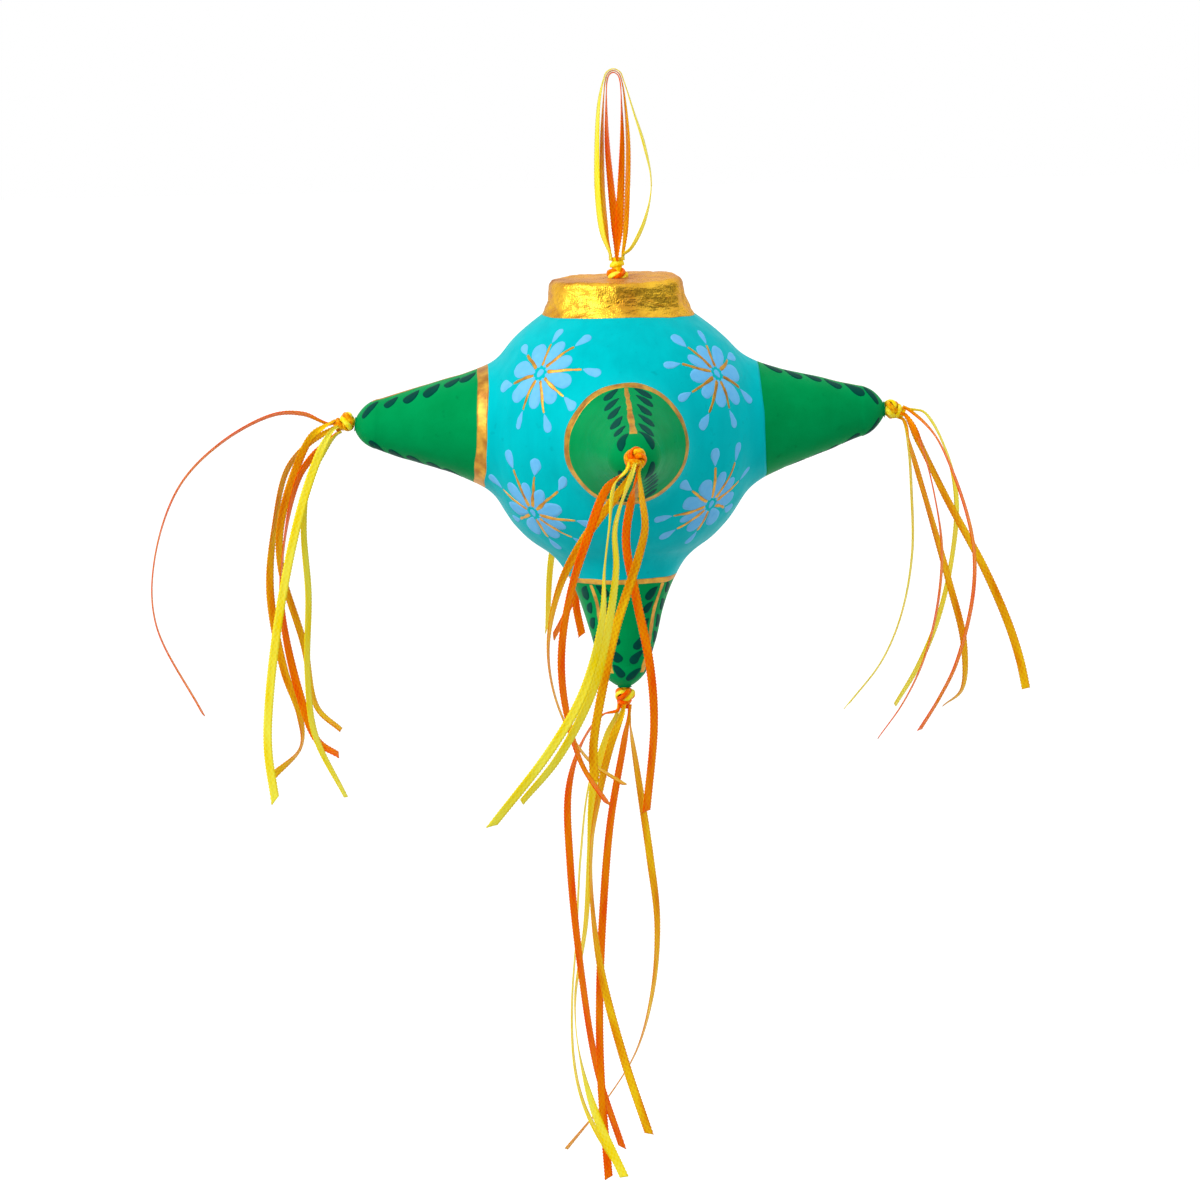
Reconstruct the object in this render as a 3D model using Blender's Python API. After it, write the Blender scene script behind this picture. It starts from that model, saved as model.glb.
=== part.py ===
"""Papier-mache pinata star ornament: a hollow globe with five paper cones, a gilded neck and ribbon tassels.

Metres, +Z up. The origin is the inside of the hanging loop's top, where a hook holds the ornament.
The front cone points along -Y.
"""
import math

import bmesh
import bpy
from mathutils import Matrix, Vector

# Driving dimensions in metres

GLOBE_DROP = 0.121
GLOBE_RADIUS = 0.0478
GLOBE_WALL = 0.0024
FIT_GAP = 0.0003

SIDE_MOUTH_RADIUS = 0.0199
SIDE_MOUTH_DISTANCE = 0.0476
BOTTOM_MOUTH_RADIUS = 0.0180
BOTTOM_MOUTH_DISTANCE = 0.0500
SPIGOT_DEPTH = 0.0045

SIDE_CONE_REACH = 0.0900
BOTTOM_CONE_REACH = 0.0880
CONE_WALL = 0.0018
CONE_HOLLOW = 0.00045
NOSE_LENGTH = 0.0078
NOSE_RADIUS = 0.0087
TIP_RADIUS = 0.0021
TIP_THICKNESS = 0.0037
RIBBON_HOLE_RADIUS = 0.0015

NECK_RADIUS = 0.0262
NECK_HEIGHT = 0.0110
NECK_TAPER = 0.0018
NECK_WALL = 0.0020
NECK_EDGE_RADIUS = 0.0011
NECK_SPIGOT_DEPTH = 0.0025

TASSEL_KNOT_RADIUS = 0.0031
HANGER_KNOT_RADIUS = 0.0034
KNOT_CORD_RADIUS = 0.0011
STOP_KNOT_RADIUS = 0.0024

RIBBON_WIDTH = 0.0032
RIBBON_THICKNESS = 0.0003
GATHERED_WIDTH = 0.0018
GATHER_LENGTH = 0.0090
EXIT_LENGTH = 0.0020
RIBBON_STEP = 0.0140

# Angles in degrees and counts

SIDE_RISE = 3.1
FLARE_END = 35
NECK_PATCH_END = 40
FLARE_SHARPNESS = 2.6
HOLLOW_PLACE = 0.3
NOSE_BLUNTNESS = 1.5
ROUND_SEGMENTS = 32
KNOT_SEGMENTS = 12
SHARP_EDGE = 40
BEND_STEP = 28
TWIST_STEP = 80

GLOBE_CENTRE = Vector((0, 0, -GLOBE_DROP))
MILLIMETRE = 0.001
UP = Vector((0, 0, 1))
TOWARDS_BACK = Vector((0, 1, 0))
TOWARDS_FRONT = Vector((0, -1, 0))

# Colours as 8-bit screen values, with roughness and metallic value

TURQUOISE = ((0, 196, 203), 0.45, 0.0)
GREEN = ((0, 158, 90), 0.45, 0.0)
GOLD = ((222, 172, 44), 0.35, 0.8)
RIBBON_FINISH = {
    "yellow": ((247, 228, 50), 0.4, 0.0),
    "gold": ((232, 158, 4), 0.4, 0.0),
    "orange": ((250, 106, 6), 0.4, 0.0),
}

# Where each cone points from the globe's centre, and how many degrees it rises above that

ARMS = {
    "left": (Vector((-1, 0, 0)), SIDE_RISE),
    "right": (Vector((1, 0, 0)), SIDE_RISE),
    "front": (Vector((0, -1, 0)), 0.0),
    "rear": (Vector((0, 1, 0)), 0.0),
    "bottom": (Vector((0, 0, -1)), 0.0),
}

# The way that each tassel leaves its knot

TASSEL_EXITS = {
    "left": Vector((-0.88, 0, -0.47)),
    "right": Vector((0.88, 0, -0.47)),
    "front": Vector((-0.30, -0.50, -0.81)),
    "rear": Vector((-0.30, 0.50, -0.81)),
    "bottom": Vector((-0.15, 0, -0.99)),
}

# Each tail's place round its knot, in degrees from the front, and the points that it hangs through.
# A point is millimetres to the right of, behind and above the knot, and then the ribbon's turn about
# its run in degrees: 0 shows its face to the front, 90 its edge.

TASSEL_TAILS = {
    "left": {
        "yellow_1": (0, [
            (-8, -6, -8, 8), (-15, -9, -26, 4), (-23, -9, -59, 5), (-28, -9, -92, 6), (-29, -9, -110, 6),
            (-27, -9, -128, 10)]),
        "yellow_2": (300, [
            (-8, -3.5, -10, 42), (-13, -5, -19, 52), (-15, -5.5, -35, 50), (-14, -5.5, -58, 45),
            (-15, -5.5, -84, 50), (-13, -5.5, -106, 50), (-3, -5.5, -128, 70)]),
        "orange_1": (120, [
            (-14, 1, 3, 58), (-24, 1, 3, 66), (-42, 1, -6, 78), (-57, 1, -21, 80), (-66, 1, -46, 78),
            (-66, 1, -68, 75), (-51, 1, -99, 70)]),
        "orange_2": (240, [
            (-9, 0, -9, 30), (-16, -1, -18, 30), (-22, -2, -42, 32), (-23, -2, -64, 30), (-18, -2, -92, 38),
            (-12, -2, -109, 55), (-5, -2, -114, 60)]),
        "gold_1": (180, [
            (-12, 4, -7, 45), (-20, 5, -16, 55), (-25, 5, -36, 62), (-27, 5, -58, 55), (-23, 5, -85, 30),
            (-18, 5, -101, 48), (-18, 5, -112, 70), (-27, 5, -121, 30)]),
        "gold_2": (60, [
            (-11, -1, -4, 20), (-18, 1, -18, 20), (-23, 2, -36, 32), (-23, 2, -50, 42), (-16, 2, -76, 42),
            (-12, 2, -98, 58), (-4, 2, -106, 65)]),
    },
    "right": {
        "yellow_1": (120, [
            (5, 1, -12, 75), (6, 1.5, -28, 78), (6, 1.5, -50, 80), (2, 1.5, -71, 80), (-5, 1.5, -87, 80),
            (-17, 1.5, -102, 78)]),
        "yellow_2": (240, [
            (11, 4, -2, 78), (18, 6, -14, 75), (22, 7, -32, 54), (20, 7, -54, 54), (15, 7, -74, 50),
            (8, 7, -90, 50), (0, 7, -103, 60)]),
        "orange_1": (0, [
            (9, -7, -13, 60), (13, -9, -30, 78), (15, -10, -48, 72), (13, -10, -68, 72), (8, -10, -86, 75),
            (1, -10, -100, 75), (-7, -10, -111, 80)]),
        "orange_2": (300, [
            (13, -4, -8, 74), (20, -6, -23, 62), (26, -6, -45, 60), (26, -6, -63, 61), (20, -6, -87, 60),
            (14, -6, -99, 62), (7, -6, -110, 60)]),
        "gold_1": (60, [
            (6, -3, -15, 42), (11, -3, -33, 25), (18, -2.5, -59, 24), (23, -2.5, -81, 38),
            (22, -2.5, -97, 60), (16, -2.5, -102, 78)]),
        "gold_2": (180, [
            (10, 3.5, -14, 25), (18, 3.5, -31, 12), (31, 3.5, -56, 12), (39, 3.5, -75, 14), (43, 3.5, -88, 6),
            (45, 3.5, -98, 5)]),
    },
    "front": {
        "yellow_1": (60, [
            (-8, -12, -8, 60), (-10, -18, -20, 75), (-12, -21, -34, 76), (-13, -21, -50, 42),
            (-19, -21, -72, 5), (-30, -21, -91, 8), (-50, -21, -116, 30)]),
        "yellow_2": (0, [
            (-4, -10, -9, 64), (-8, -15, -21, 58), (-8, -17, -34, 48), (-12, -17, -58, 22),
            (-17, -17, -75, 16), (-28, -17, -95, 28), (-40, -17, -109, 45)]),
        "orange_1": (120, [
            (-10, -6, -9, 22), (-17, -11, -25, 20), (-23, -13, -43, 38), (-26, -13, -62, 35),
            (-25, -13, -79, 45), (-20, -13, -98, 63), (-12, -13, -111, 65)]),
        "orange_2": (240, [
            (-2, -5, -13, 35), (-4, -6, -26, 26), (-1, -6, -45, 20), (3, -6, -67, 20), (4, -6, -86, 30),
            (1, -6, -115, 30)]),
        "gold_1": (180, [
            (-6, -1.5, -11, 12), (-18, -5, -26, 10), (-26, -6, -41, 40), (-30, -6, -61, 72),
            (-27, -6, -80, 80), (-18, -6, -97, 78), (-6, -6, -106, 75)]),
        "gold_2": (300, [
            (1, -7, -10, 52), (2, -10, -21, 40), (0, -10, -30, 22), (-8, -10, -54, 5), (-13, -10, -75, 12),
            (-16, -10, -92, 15), (-16, -10, -104, 5)]),
    },
    "rear": {
        "yellow_1": (120, [(-6, 8, -11, 30), (-14, 12, -31, 32), (-20, 12, -56, 40), (-22, 12, -82, 60)]),
        "yellow_2": (180, [(1, 11, -11, 60), (2, 15, -29, 55), (0, 16, -60, 48), (1, 16, -84, 60)]),
        "orange_1": (60, [
            (-4, 6, -10, 30), (-6, 7, -26, 30), (-6, 7, -44, 35), (-8, 7, -60, 42), (-15, 7, -75, 46),
            (-20, 7, -84, 50)]),
        "orange_2": (0, [
            (-1, 3, -10, 30), (-4, 2, -27, 26), (-10, 2, -55, 34), (-12, 2, -70, 30), (-10, 2, -83, 25)]),
        "gold_1": (240, [(3, 8, -11, 40), (6, 11, -29, 30), (8, 11, -56, 27), (5, 11, -86, 20)]),
        "gold_2": (300, [(4, 4, -11, 30), (9, 5, -30, 20), (13, 5, -60, 18), (11, 5, -82, 25)]),
    },
    "bottom": {
        "yellow_1": (180, [
            (-5, 6, -14, 42), (-12, 7, -29, 74), (-16, 7, -56, 76), (-18, 7, -84, 79), (-20, 7, -108, 77),
            (-20, 3, -126, 75), (-18, -4, -138, 72), (-14, -9, -148, 64), (-5, -9, -163, 40)]),
        "yellow_2": (120, [
            (-6, 2, -14, 12), (-11, 2, -29, 22), (-13, 2, -54, 46), (-15, 3, -80, 58), (-19, 2, -104, 75),
            (-19, -2, -117, 88), (-17, -7, -130, 70), (-13, -11, -144, 25), (-4, -13, -165, 0)]),
        "orange_1": (60, [
            (-8, -2, -6, 74), (-15, -2, -15, 70), (-20, -2, -31, 40), (-20, -2, -58, 32), (-17, -2, -95, 42),
            (-12, -2, -130, 45), (-4, -2, -157, 45)]),
        "orange_2": (300, [
            (-1, -3.5, -16, 42), (-6, -5, -42, 32), (-9, -5, -71, 26), (-11, -5, -105, 30),
            (-11, -5, -133, 26), (-9, -5, -167, 20)]),
        "gold_1": (0, [
            (-5, -7, -14, 26), (-9, -9, -28, 36), (-13, -9, -50, 68), (-13, -9, -72, 62), (-10, -9, -96, 34),
            (-3, -9, -125, 11), (5, -9, -151, 20)]),
        "gold_2": (240, [
            (2, 5, -13, 76), (4, 7, -27, 48), (8, 7, -58, 30), (10, 7, -80, 46), (8, 7, -104, 60),
            (2, 7, -125, 75), (-8, 7, -141, 76), (-23, 7, -159, 60)]),
    },
}

# The hanging loop's ribbons: the places round the knot where the two ends go in, and the points
# between them as millimetres from the inside of the loop's top. They lie over each other at the top.

LOOP_RIBBONS = {
    "yellow": (300, 60, [
        (-4.6, -1.8, -54, 56), (-6, -1.6, -42, 54), (-6, -1, -25, 62), (-5, 0, -10, 76), (-3.4, 0, -2.5, 88),
        (-2.2, 0, 0.4, 90), (0, 0, 1.4, 90), (2.2, 0, 0.4, 90), (3.4, 0, -2.5, 88), (6.5, 0, -13, 80),
        (10, -1, -25, 72), (12, -1.5, -38, 84), (9, -2.5, -51, 66), (4.5, -2.5, -59, 58)]),
    "gold": (240, 120, [
        (-3.2, 1.3, -54, 114), (-4.2, 1, -40, 106), (-4.2, 0.5, -24, 99), (-3.6, 0, -11, 93),
        (-2.8, 0, -3, 90), (-1.8, 0, -0.1, 90), (0, 0, 0.8, 90), (1.8, 0, -0.1, 90), (2.8, 0, -3, 90),
        (3.8, 0, -11, 94), (4.5, 0.5, -24, 100), (4, 1, -40, 108), (3, 1.2, -54, 116)]),
    "orange": (180, 0, [
        (0, 2.8, -54, 168), (-1.2, 2.4, -40, 135), (-2.4, 1, -24, 108), (-2.5, 0, -11, 94),
        (-2.2, 0, -3.2, 90), (-1.4, 0, -0.6, 90), (0, 0, 0.2, 90), (1.4, 0, -0.6, 90),
        (2.2, 0, -3.2, 90), (2.5, 0, -11, 84), (2.4, -0.8, -24, 64), (1.6, -1.6, -40, 34),
        (0.6, -2.4, -54, 12)]),
}


def clear_scene():
    for item in list(bpy.data.objects):
        bpy.data.objects.remove(item, do_unlink=True)


def finish_material(name, finish):
    colour, roughness, metallic = finish
    material = bpy.data.materials.new(name)
    material.use_nodes = True
    shader = material.node_tree.nodes["Principled BSDF"]
    linear = [(channel / 255) ** 2.2 for channel in colour]
    shader.inputs["Base Color"].default_value = (*linear, 1.0)
    shader.inputs["Roughness"].default_value = roughness
    shader.inputs["Metallic"].default_value = metallic
    return material


def add_pivot(name, place, parent=None):
    pivot = bpy.data.objects.new(name, None)
    bpy.context.collection.objects.link(pivot)
    pivot.empty_display_size = 0.01
    pivot.parent = parent
    pivot.location = place if parent is None else place - place_of(parent)
    pivot["place"] = place
    return pivot


def place_of(pivot):
    return Vector(pivot["place"])


def add_piece(name, bm, finish, pivot, place, frame=None):
    """Put a finished bmesh, drawn about place, on its pivot as one named object."""
    bmesh.ops.recalc_face_normals(bm, faces=bm.faces)
    mesh = bpy.data.meshes.new(name)
    bm.to_mesh(mesh)
    bm.free()
    piece = bpy.data.objects.new(name, mesh)
    bpy.context.collection.objects.link(piece)
    mesh.materials.append(finish_material(name, finish))
    mesh.shade_smooth()
    mesh.set_sharp_from_angle(angle=math.radians(SHARP_EDGE))
    piece.parent = pivot
    piece.location = place - place_of(pivot)
    if frame is not None:
        piece.rotation_mode = "QUATERNION"
        piece.rotation_quaternion = frame.to_quaternion()
    return piece


# Frames that look along each arm of the star


def arm_frame(cube_axis, rise):
    """Columns are two crosswise axes and the arm's own axis, tilted upwards by rise degrees."""
    upward = UP if abs(cube_axis.z) < 0.5 else TOWARDS_BACK
    across = upward.cross(cube_axis)
    tilt = Matrix.Rotation(-math.radians(rise), 3, across)
    axis = tilt @ cube_axis
    return Matrix((across, axis.cross(across), axis)).transposed()


ARM_FRAMES = {name: arm_frame(axis, rise) for name, (axis, rise) in ARMS.items()}
ARM_FRAMES["top"] = arm_frame(UP, 0.0)


def mouth_sizes(name):
    """Outer radius and distance of the opening that a cone or the neck closes."""
    if name == "top":
        return NECK_RADIUS, math.sqrt(GLOBE_RADIUS ** 2 - NECK_RADIUS ** 2)
    if name == "bottom":
        return BOTTOM_MOUTH_RADIUS, BOTTOM_MOUTH_DISTANCE
    return SIDE_MOUTH_RADIUS, SIDE_MOUTH_DISTANCE


def cone_reach(name):
    return BOTTOM_CONE_REACH if name == "bottom" else SIDE_CONE_REACH


# The globe's two skins, one patch for each arm and one for the neck


def ring_angles():
    return [2 * math.pi * step / ROUND_SEGMENTS for step in range(ROUND_SEGMENTS)]


def circle_ring(frame, radius, distance):
    turns = ring_angles()
    return [frame @ Vector((radius * math.cos(turn), radius * math.sin(turn), distance)) for turn in turns]


def border_directions(name):
    """Directions to the edge of the patch, which is one face of a cube blown up to a ball."""
    frame = arm_frame(UP if name == "top" else ARMS[name][0], 0.0)
    directions = []
    for turn in ring_angles():
        across = math.cos(turn)
        upward = math.sin(turn)
        reach = max(abs(across), abs(upward))
        directions.append((frame @ Vector((across / reach, upward / reach, 1.0))).normalized())
    return directions


def blended_ring(round_ring, name, radius, share):
    """A ring on the ball, part of the way from a round ring to the patch's square edge."""
    pairs = zip(round_ring, border_directions(name))
    return [start.normalized().lerp(end, share).normalized() * radius for start, end in pairs]


def outer_rings(name):
    """Rings from the mouth down its flare to the plain ball, and on to the edge of the patch."""
    radius, distance = mouth_sizes(name)
    mouth_turn = math.atan2(radius, distance)
    mouth_reach = math.hypot(radius, distance)
    flare_turn = math.radians(NECK_PATCH_END if name == "top" else FLARE_END) - mouth_turn
    rings = []
    for share in (0.0, 1.0) if name == "top" else (0.0, 0.22, 0.5, 1.0):
        turn = mouth_turn + share * flare_turn
        reach = GLOBE_RADIUS + (mouth_reach - GLOBE_RADIUS) * (1.0 - share) ** FLARE_SHARPNESS
        rings.append(circle_ring(ARM_FRAMES[name], reach * math.sin(turn), reach * math.cos(turn)))
    last = rings[-1]
    return rings + [blended_ring(last, name, GLOBE_RADIUS, share) for share in (0.5, 1.0)]


def inner_rings(name):
    radius, distance = mouth_sizes(name)
    inner_radius = radius - GLOBE_WALL
    inner_ball = GLOBE_RADIUS - GLOBE_WALL
    frame = ARM_FRAMES[name]
    rings = [
        circle_ring(frame, inner_radius, distance),
        circle_ring(frame, inner_radius, math.sqrt(inner_ball ** 2 - inner_radius ** 2)),
    ]
    last = rings[-1]
    return rings + [blended_ring(last, name, inner_ball, share) for share in (0.5, 1.0)]


def join_rings(bm, rings):
    """Make a band of quads between each ring and the next."""
    loops = [[bm.verts.new(point) for point in ring] for ring in rings]
    for near, far in zip(loops, loops[1:]):
        for step in range(len(near)):
            after = (step + 1) % len(near)
            bm.faces.new((near[step], near[after], far[after], far[step]))
    return loops


def add_body_shell(star):
    bm = bmesh.new()
    for name in ARM_FRAMES:
        outside = join_rings(bm, outer_rings(name))
        inside = join_rings(bm, inner_rings(name))
        outer_lip = outside[0]
        inner_lip = inside[0]
        for step in range(ROUND_SEGMENTS):
            after = (step + 1) % ROUND_SEGMENTS
            bm.faces.new((outer_lip[step], outer_lip[after], inner_lip[after], inner_lip[step]))
    bmesh.ops.remove_doubles(bm, verts=bm.verts, dist=0.00001)
    add_piece("body_shell", bm, TURQUOISE, star, GLOBE_CENTRE)


# Turned pieces: the cones, the neck and the knots


def turned_solid(outline, segments):
    """Spin a closed outline of (radius, height) points round Z. Points on the axis stay single."""
    bm = bmesh.new()
    points = [bm.verts.new((radius, 0.0, height)) for radius, height in outline]
    edges = [bm.edges.new(pair) for pair in zip(points, points[1:])]
    if outline[0][0] > 0.0:
        edges.append(bm.edges.new((points[-1], points[0])))
    bmesh.ops.spin(
        bm,
        geom=points + edges,
        cent=(0, 0, 0),
        axis=(0, 0, 1),
        angle=2 * math.pi,
        steps=segments,
        use_merge=True,
    )
    bmesh.ops.remove_doubles(bm, verts=bm.verts, dist=0.000001)
    return bm


def cone_radius(name, distance):
    """A cone's outer radius at a distance from the globe's centre: a taper, then a blunt nose."""
    mouth_radius, mouth_distance = mouth_sizes(name)
    nose_start = cone_reach(name) - NOSE_LENGTH
    if distance <= nose_start:
        share = (distance - mouth_distance) / (nose_start - mouth_distance)
        place = share / HOLLOW_PLACE
        taper = mouth_radius + (NOSE_RADIUS - mouth_radius) * share
        return taper - CONE_HOLLOW * place * math.exp(1.0 - place)
    share = (distance - nose_start) / NOSE_LENGTH
    return NOSE_RADIUS + (TIP_RADIUS - NOSE_RADIUS) * share ** NOSE_BLUNTNESS


def cone_outline(name):
    """Down the outside to the tip, back through the ribbon's hole and up the hollow inside."""
    mouth_radius, mouth_distance = mouth_sizes(name)
    reach = cone_reach(name)
    base = mouth_distance + FIT_GAP
    nose_start = reach - NOSE_LENGTH
    taper = [base + (nose_start - base) * share for share in (0.0, 0.12, 0.35, 0.68, 1.0)]
    nose = [nose_start + NOSE_LENGTH * share for share in (0.45, 0.8, 1.0)]
    outline = [(cone_radius(name, distance), distance) for distance in taper + nose]
    seat = reach - TIP_THICKNESS
    outline.append((RIBBON_HOLE_RADIUS, reach))
    outline.append((RIBBON_HOLE_RADIUS, seat))
    outline.append((STOP_KNOT_RADIUS + FIT_GAP, seat))
    outline.append((NOSE_RADIUS - CONE_WALL, nose_start))
    outline.append((cone_radius(name, taper[2]) - CONE_WALL, taper[2]))
    spigot_radius = mouth_radius - GLOBE_WALL - FIT_GAP
    outline.append((spigot_radius - CONE_WALL, mouth_distance - SPIGOT_DEPTH))
    outline.append((spigot_radius, mouth_distance - SPIGOT_DEPTH))
    outline.append((spigot_radius, base))
    return outline


def add_cones(star):
    for name in ARMS:
        bm = turned_solid(cone_outline(name), ROUND_SEGMENTS)
        add_piece(name + "_cone", bm, GREEN, star, GLOBE_CENTRE, ARM_FRAMES[name])


def neck_sizes():
    """Heights of the neck's foot and of its flat cap, above the globe's centre."""
    radius, foot = mouth_sizes("top")
    return foot, foot + NECK_HEIGHT


def neck_outline():
    mouth, top = neck_sizes()
    foot = mouth + FIT_GAP
    cap_radius = NECK_RADIUS - NECK_TAPER
    outline = []
    for share in (0.0, 0.35, 0.75):
        drawn_in = NECK_TAPER * (1.0 - (1.0 - share) ** 2)
        outline.append((NECK_RADIUS - drawn_in, foot + (top - NECK_EDGE_RADIUS - foot) * share))
    for turn in (0, 45, 90):
        corner = math.radians(turn)
        across = cap_radius - NECK_EDGE_RADIUS * (1.0 - math.cos(corner))
        outline.append((across, top - NECK_EDGE_RADIUS * (1.0 - math.sin(corner))))
    ceiling = top - NECK_WALL
    spigot_radius = NECK_RADIUS - GLOBE_WALL - FIT_GAP
    outline.append((RIBBON_HOLE_RADIUS, top))
    outline.append((RIBBON_HOLE_RADIUS, ceiling))
    outline.append((cap_radius - NECK_WALL, ceiling))
    outline.append((spigot_radius - NECK_WALL, mouth - NECK_SPIGOT_DEPTH))
    outline.append((spigot_radius, mouth - NECK_SPIGOT_DEPTH))
    outline.append((spigot_radius, foot))
    return outline


def add_neck(star):
    bm = turned_solid(neck_outline(), ROUND_SEGMENTS)
    add_piece("neck_collar", bm, GOLD, star, GLOBE_CENTRE)


def knot_outline(knot_radius, wall_thickness):
    """A bead outside the wall, the gathered ribbons through its hole, and a stop knot inside.

    Heights run outwards from the bead's centre.
    """
    bead_foot = -knot_radius
    stop_face = bead_foot - FIT_GAP - wall_thickness - FIT_GAP
    stop_centre = stop_face - STOP_KNOT_RADIUS
    outline = [(0.0, knot_radius)]
    for turn in (25, 50, 72, 90, 110, 132):
        angle = math.radians(turn)
        outline.append((knot_radius * math.sin(angle), knot_radius * math.cos(angle)))
    outline.append((KNOT_CORD_RADIUS, bead_foot))
    outline.append((KNOT_CORD_RADIUS, stop_face))
    for turn in (45, 90, 135):
        angle = math.radians(turn)
        outline.append((STOP_KNOT_RADIUS * math.sin(angle), stop_centre + STOP_KNOT_RADIUS * math.cos(angle)))
    outline.append((0.0, stop_centre - STOP_KNOT_RADIUS))
    return outline


def tassel_knot_place(name):
    return GLOBE_CENTRE + ARM_FRAMES[name].col[2] * (cone_reach(name) + FIT_GAP + TASSEL_KNOT_RADIUS)


def hanger_knot_place():
    foot, top = neck_sizes()
    return GLOBE_CENTRE + UP * (top + FIT_GAP + HANGER_KNOT_RADIUS)


def add_knots(star, hanger):
    for name in ARMS:
        bm = turned_solid(knot_outline(TASSEL_KNOT_RADIUS, TIP_THICKNESS), KNOT_SEGMENTS)
        place = tassel_knot_place(name)
        add_piece(name + "_tassel_knot", bm, RIBBON_FINISH["gold"], star, place, ARM_FRAMES[name])
    bm = turned_solid(knot_outline(HANGER_KNOT_RADIUS, NECK_WALL), KNOT_SEGMENTS)
    add_piece("hanger_knot", bm, RIBBON_FINISH["yellow"], hanger, hanger_knot_place())


# Ribbons


def smooth_route(route):
    """Read (distance, station) pairs from a centripetal curve through the route's points."""
    ends = [2 * route[0] - route[1], 2 * route[-1] - route[-2]]
    points = [ends[0]] + list(route) + [ends[1]]
    fine = []
    for index in range(1, len(points) - 2):
        before, start, end, after = points[index - 1:index + 3]
        times = [0.0]
        for one, two in ((before, start), (start, end), (end, after)):
            times.append(times[-1] + math.sqrt((two.xyz - one.xyz).length))
        for piece in range(16):
            when = times[1] + (times[2] - times[1]) * piece / 16
            fine.append(catmull_rom(before, start, end, after, times, when))
    fine.append(route[-1].copy())
    return spaced_stations(fine)


def catmull_rom(before, start, end, after, times, when):
    def mix(one, two, early, late):
        return one * ((late - when) / (late - early)) + two * ((when - early) / (late - early))

    first = mix(before, start, times[0], times[1])
    second = mix(start, end, times[1], times[2])
    third = mix(end, after, times[2], times[3])
    early = mix(first, second, times[0], times[2])
    late = mix(second, third, times[1], times[3])
    return mix(early, late, times[1], times[2])


def spaced_stations(fine):
    """Space the stations evenly, but closer together where the ribbon bends or twists."""
    distances = [0.0]
    counts = [0.0]
    heading = fine[1].xyz - fine[0].xyz
    for one, two in zip(fine, fine[1:]):
        run = two.xyz - one.xyz
        bend = math.degrees(run.angle(heading))
        twist = abs(two.w - one.w)
        distances.append(distances[-1] + run.length)
        counts.append(counts[-1] + run.length / RIBBON_STEP + bend / BEND_STEP + twist / TWIST_STEP)
        heading = run
    total = math.ceil(counts[-1])
    stations = []
    index = 0
    for number in range(total + 1):
        wanted = counts[-1] * number / total
        while index < len(fine) - 2 and counts[index + 1] < wanted:
            index += 1
        share = (wanted - counts[index]) / (counts[index + 1] - counts[index])
        distance = distances[index] + (distances[index + 1] - distances[index]) * share
        stations.append((distance, fine[index].lerp(fine[index + 1], share)))
    return stations


def face_axes(run):
    """Sideways and depth axes, seen from the front, for a ribbon that runs this way."""
    side = run.cross(TOWARDS_BACK).normalized()
    return side, side.cross(run).normalized()


def knot_slot(knot, knot_radius, exit_way, slot, first_turn):
    """Where one of six gathered ribbons leaves a knot, with its turn there as a fourth number."""
    front = (TOWARDS_FRONT - exit_way * TOWARDS_FRONT.dot(exit_way)).normalized()
    left = exit_way.cross(front)
    angle = math.radians(slot)
    outward = front * math.cos(angle) + left * math.sin(angle)
    inner_reach = (GATHERED_WIDTH + 2 * FIT_GAP) / (2 * math.tan(math.radians(30)))
    clear = knot_radius + FIT_GAP
    lift = math.sqrt(clear ** 2 - inner_reach ** 2)
    place = knot + outward * (inner_reach + RIBBON_THICKNESS / 2) + exit_way * lift
    across = exit_way.cross(outward)
    side, depth = face_axes(exit_way)
    turn = math.degrees(math.atan2(across.dot(depth), across.dot(side)))
    turn += 180.0 * round((first_turn - turn) / 180.0)
    return Vector((*place, turn))


def chosen_points(offsets, origin):
    """A route's chosen points in metres, with the ribbon's turn as a fourth number."""
    return [Vector((*(origin + Vector(offset[:3]) * MILLIMETRE), offset[3])) for offset in offsets]


def leaving_points(knot, knot_radius, exit_way, slot, first_turn):
    root = knot_slot(knot, knot_radius, exit_way, slot, first_turn)
    return [root, root + Vector((*(exit_way * EXIT_LENGTH), 0.0))]


def width_at(distance, length, both_ends):
    """A ribbon is gathered where it goes into a knot and opens to its full width beyond."""
    nearest = min(distance, length - distance) if both_ends else distance
    share = min(nearest / GATHER_LENGTH, 1.0)
    return GATHERED_WIDTH + (RIBBON_WIDTH - GATHERED_WIDTH) * share * share * (3.0 - 2.0 * share)


def join_strip(bm, rings):
    """Skin a ribbon. Matching diagonals across its two wide faces keep them apart where it twists."""
    loops = [[bm.verts.new(point) for point in ring] for ring in rings]
    for near, far in zip(loops, loops[1:]):
        for start, end in ((0, 1), (3, 2)):
            bm.faces.new((near[start], near[end], far[end]))
            bm.faces.new((near[start], far[end], far[start]))
        for start, end in ((1, 2), (3, 0)):
            bm.faces.new((near[start], near[end], far[end], far[start]))
    bm.faces.new(loops[0])
    bm.faces.new(loops[-1])


def add_ribbon(name, route, finish, pivot, both_ends=False):
    stations = smooth_route(route)
    origin = place_of(pivot)
    length = stations[-1][0]
    bm = bmesh.new()
    rings = []
    for number, (distance, station) in enumerate(stations):
        before = stations[max(number - 1, 0)][1]
        after = stations[min(number + 1, len(stations) - 1)][1]
        run = (after.xyz - before.xyz).normalized()
        side, depth = face_axes(run)
        turn = math.radians(station.w)
        across = side * math.cos(turn) + depth * math.sin(turn)
        half_width = across * width_at(distance, length, both_ends) / 2
        half_thickness = run.cross(across).normalized() * RIBBON_THICKNESS / 2
        centre = station.xyz - origin
        rings.append([
            centre - half_width - half_thickness,
            centre + half_width - half_thickness,
            centre + half_width + half_thickness,
            centre - half_width + half_thickness,
        ])
    join_strip(bm, rings)
    add_piece(name, bm, finish, pivot, origin)


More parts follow.
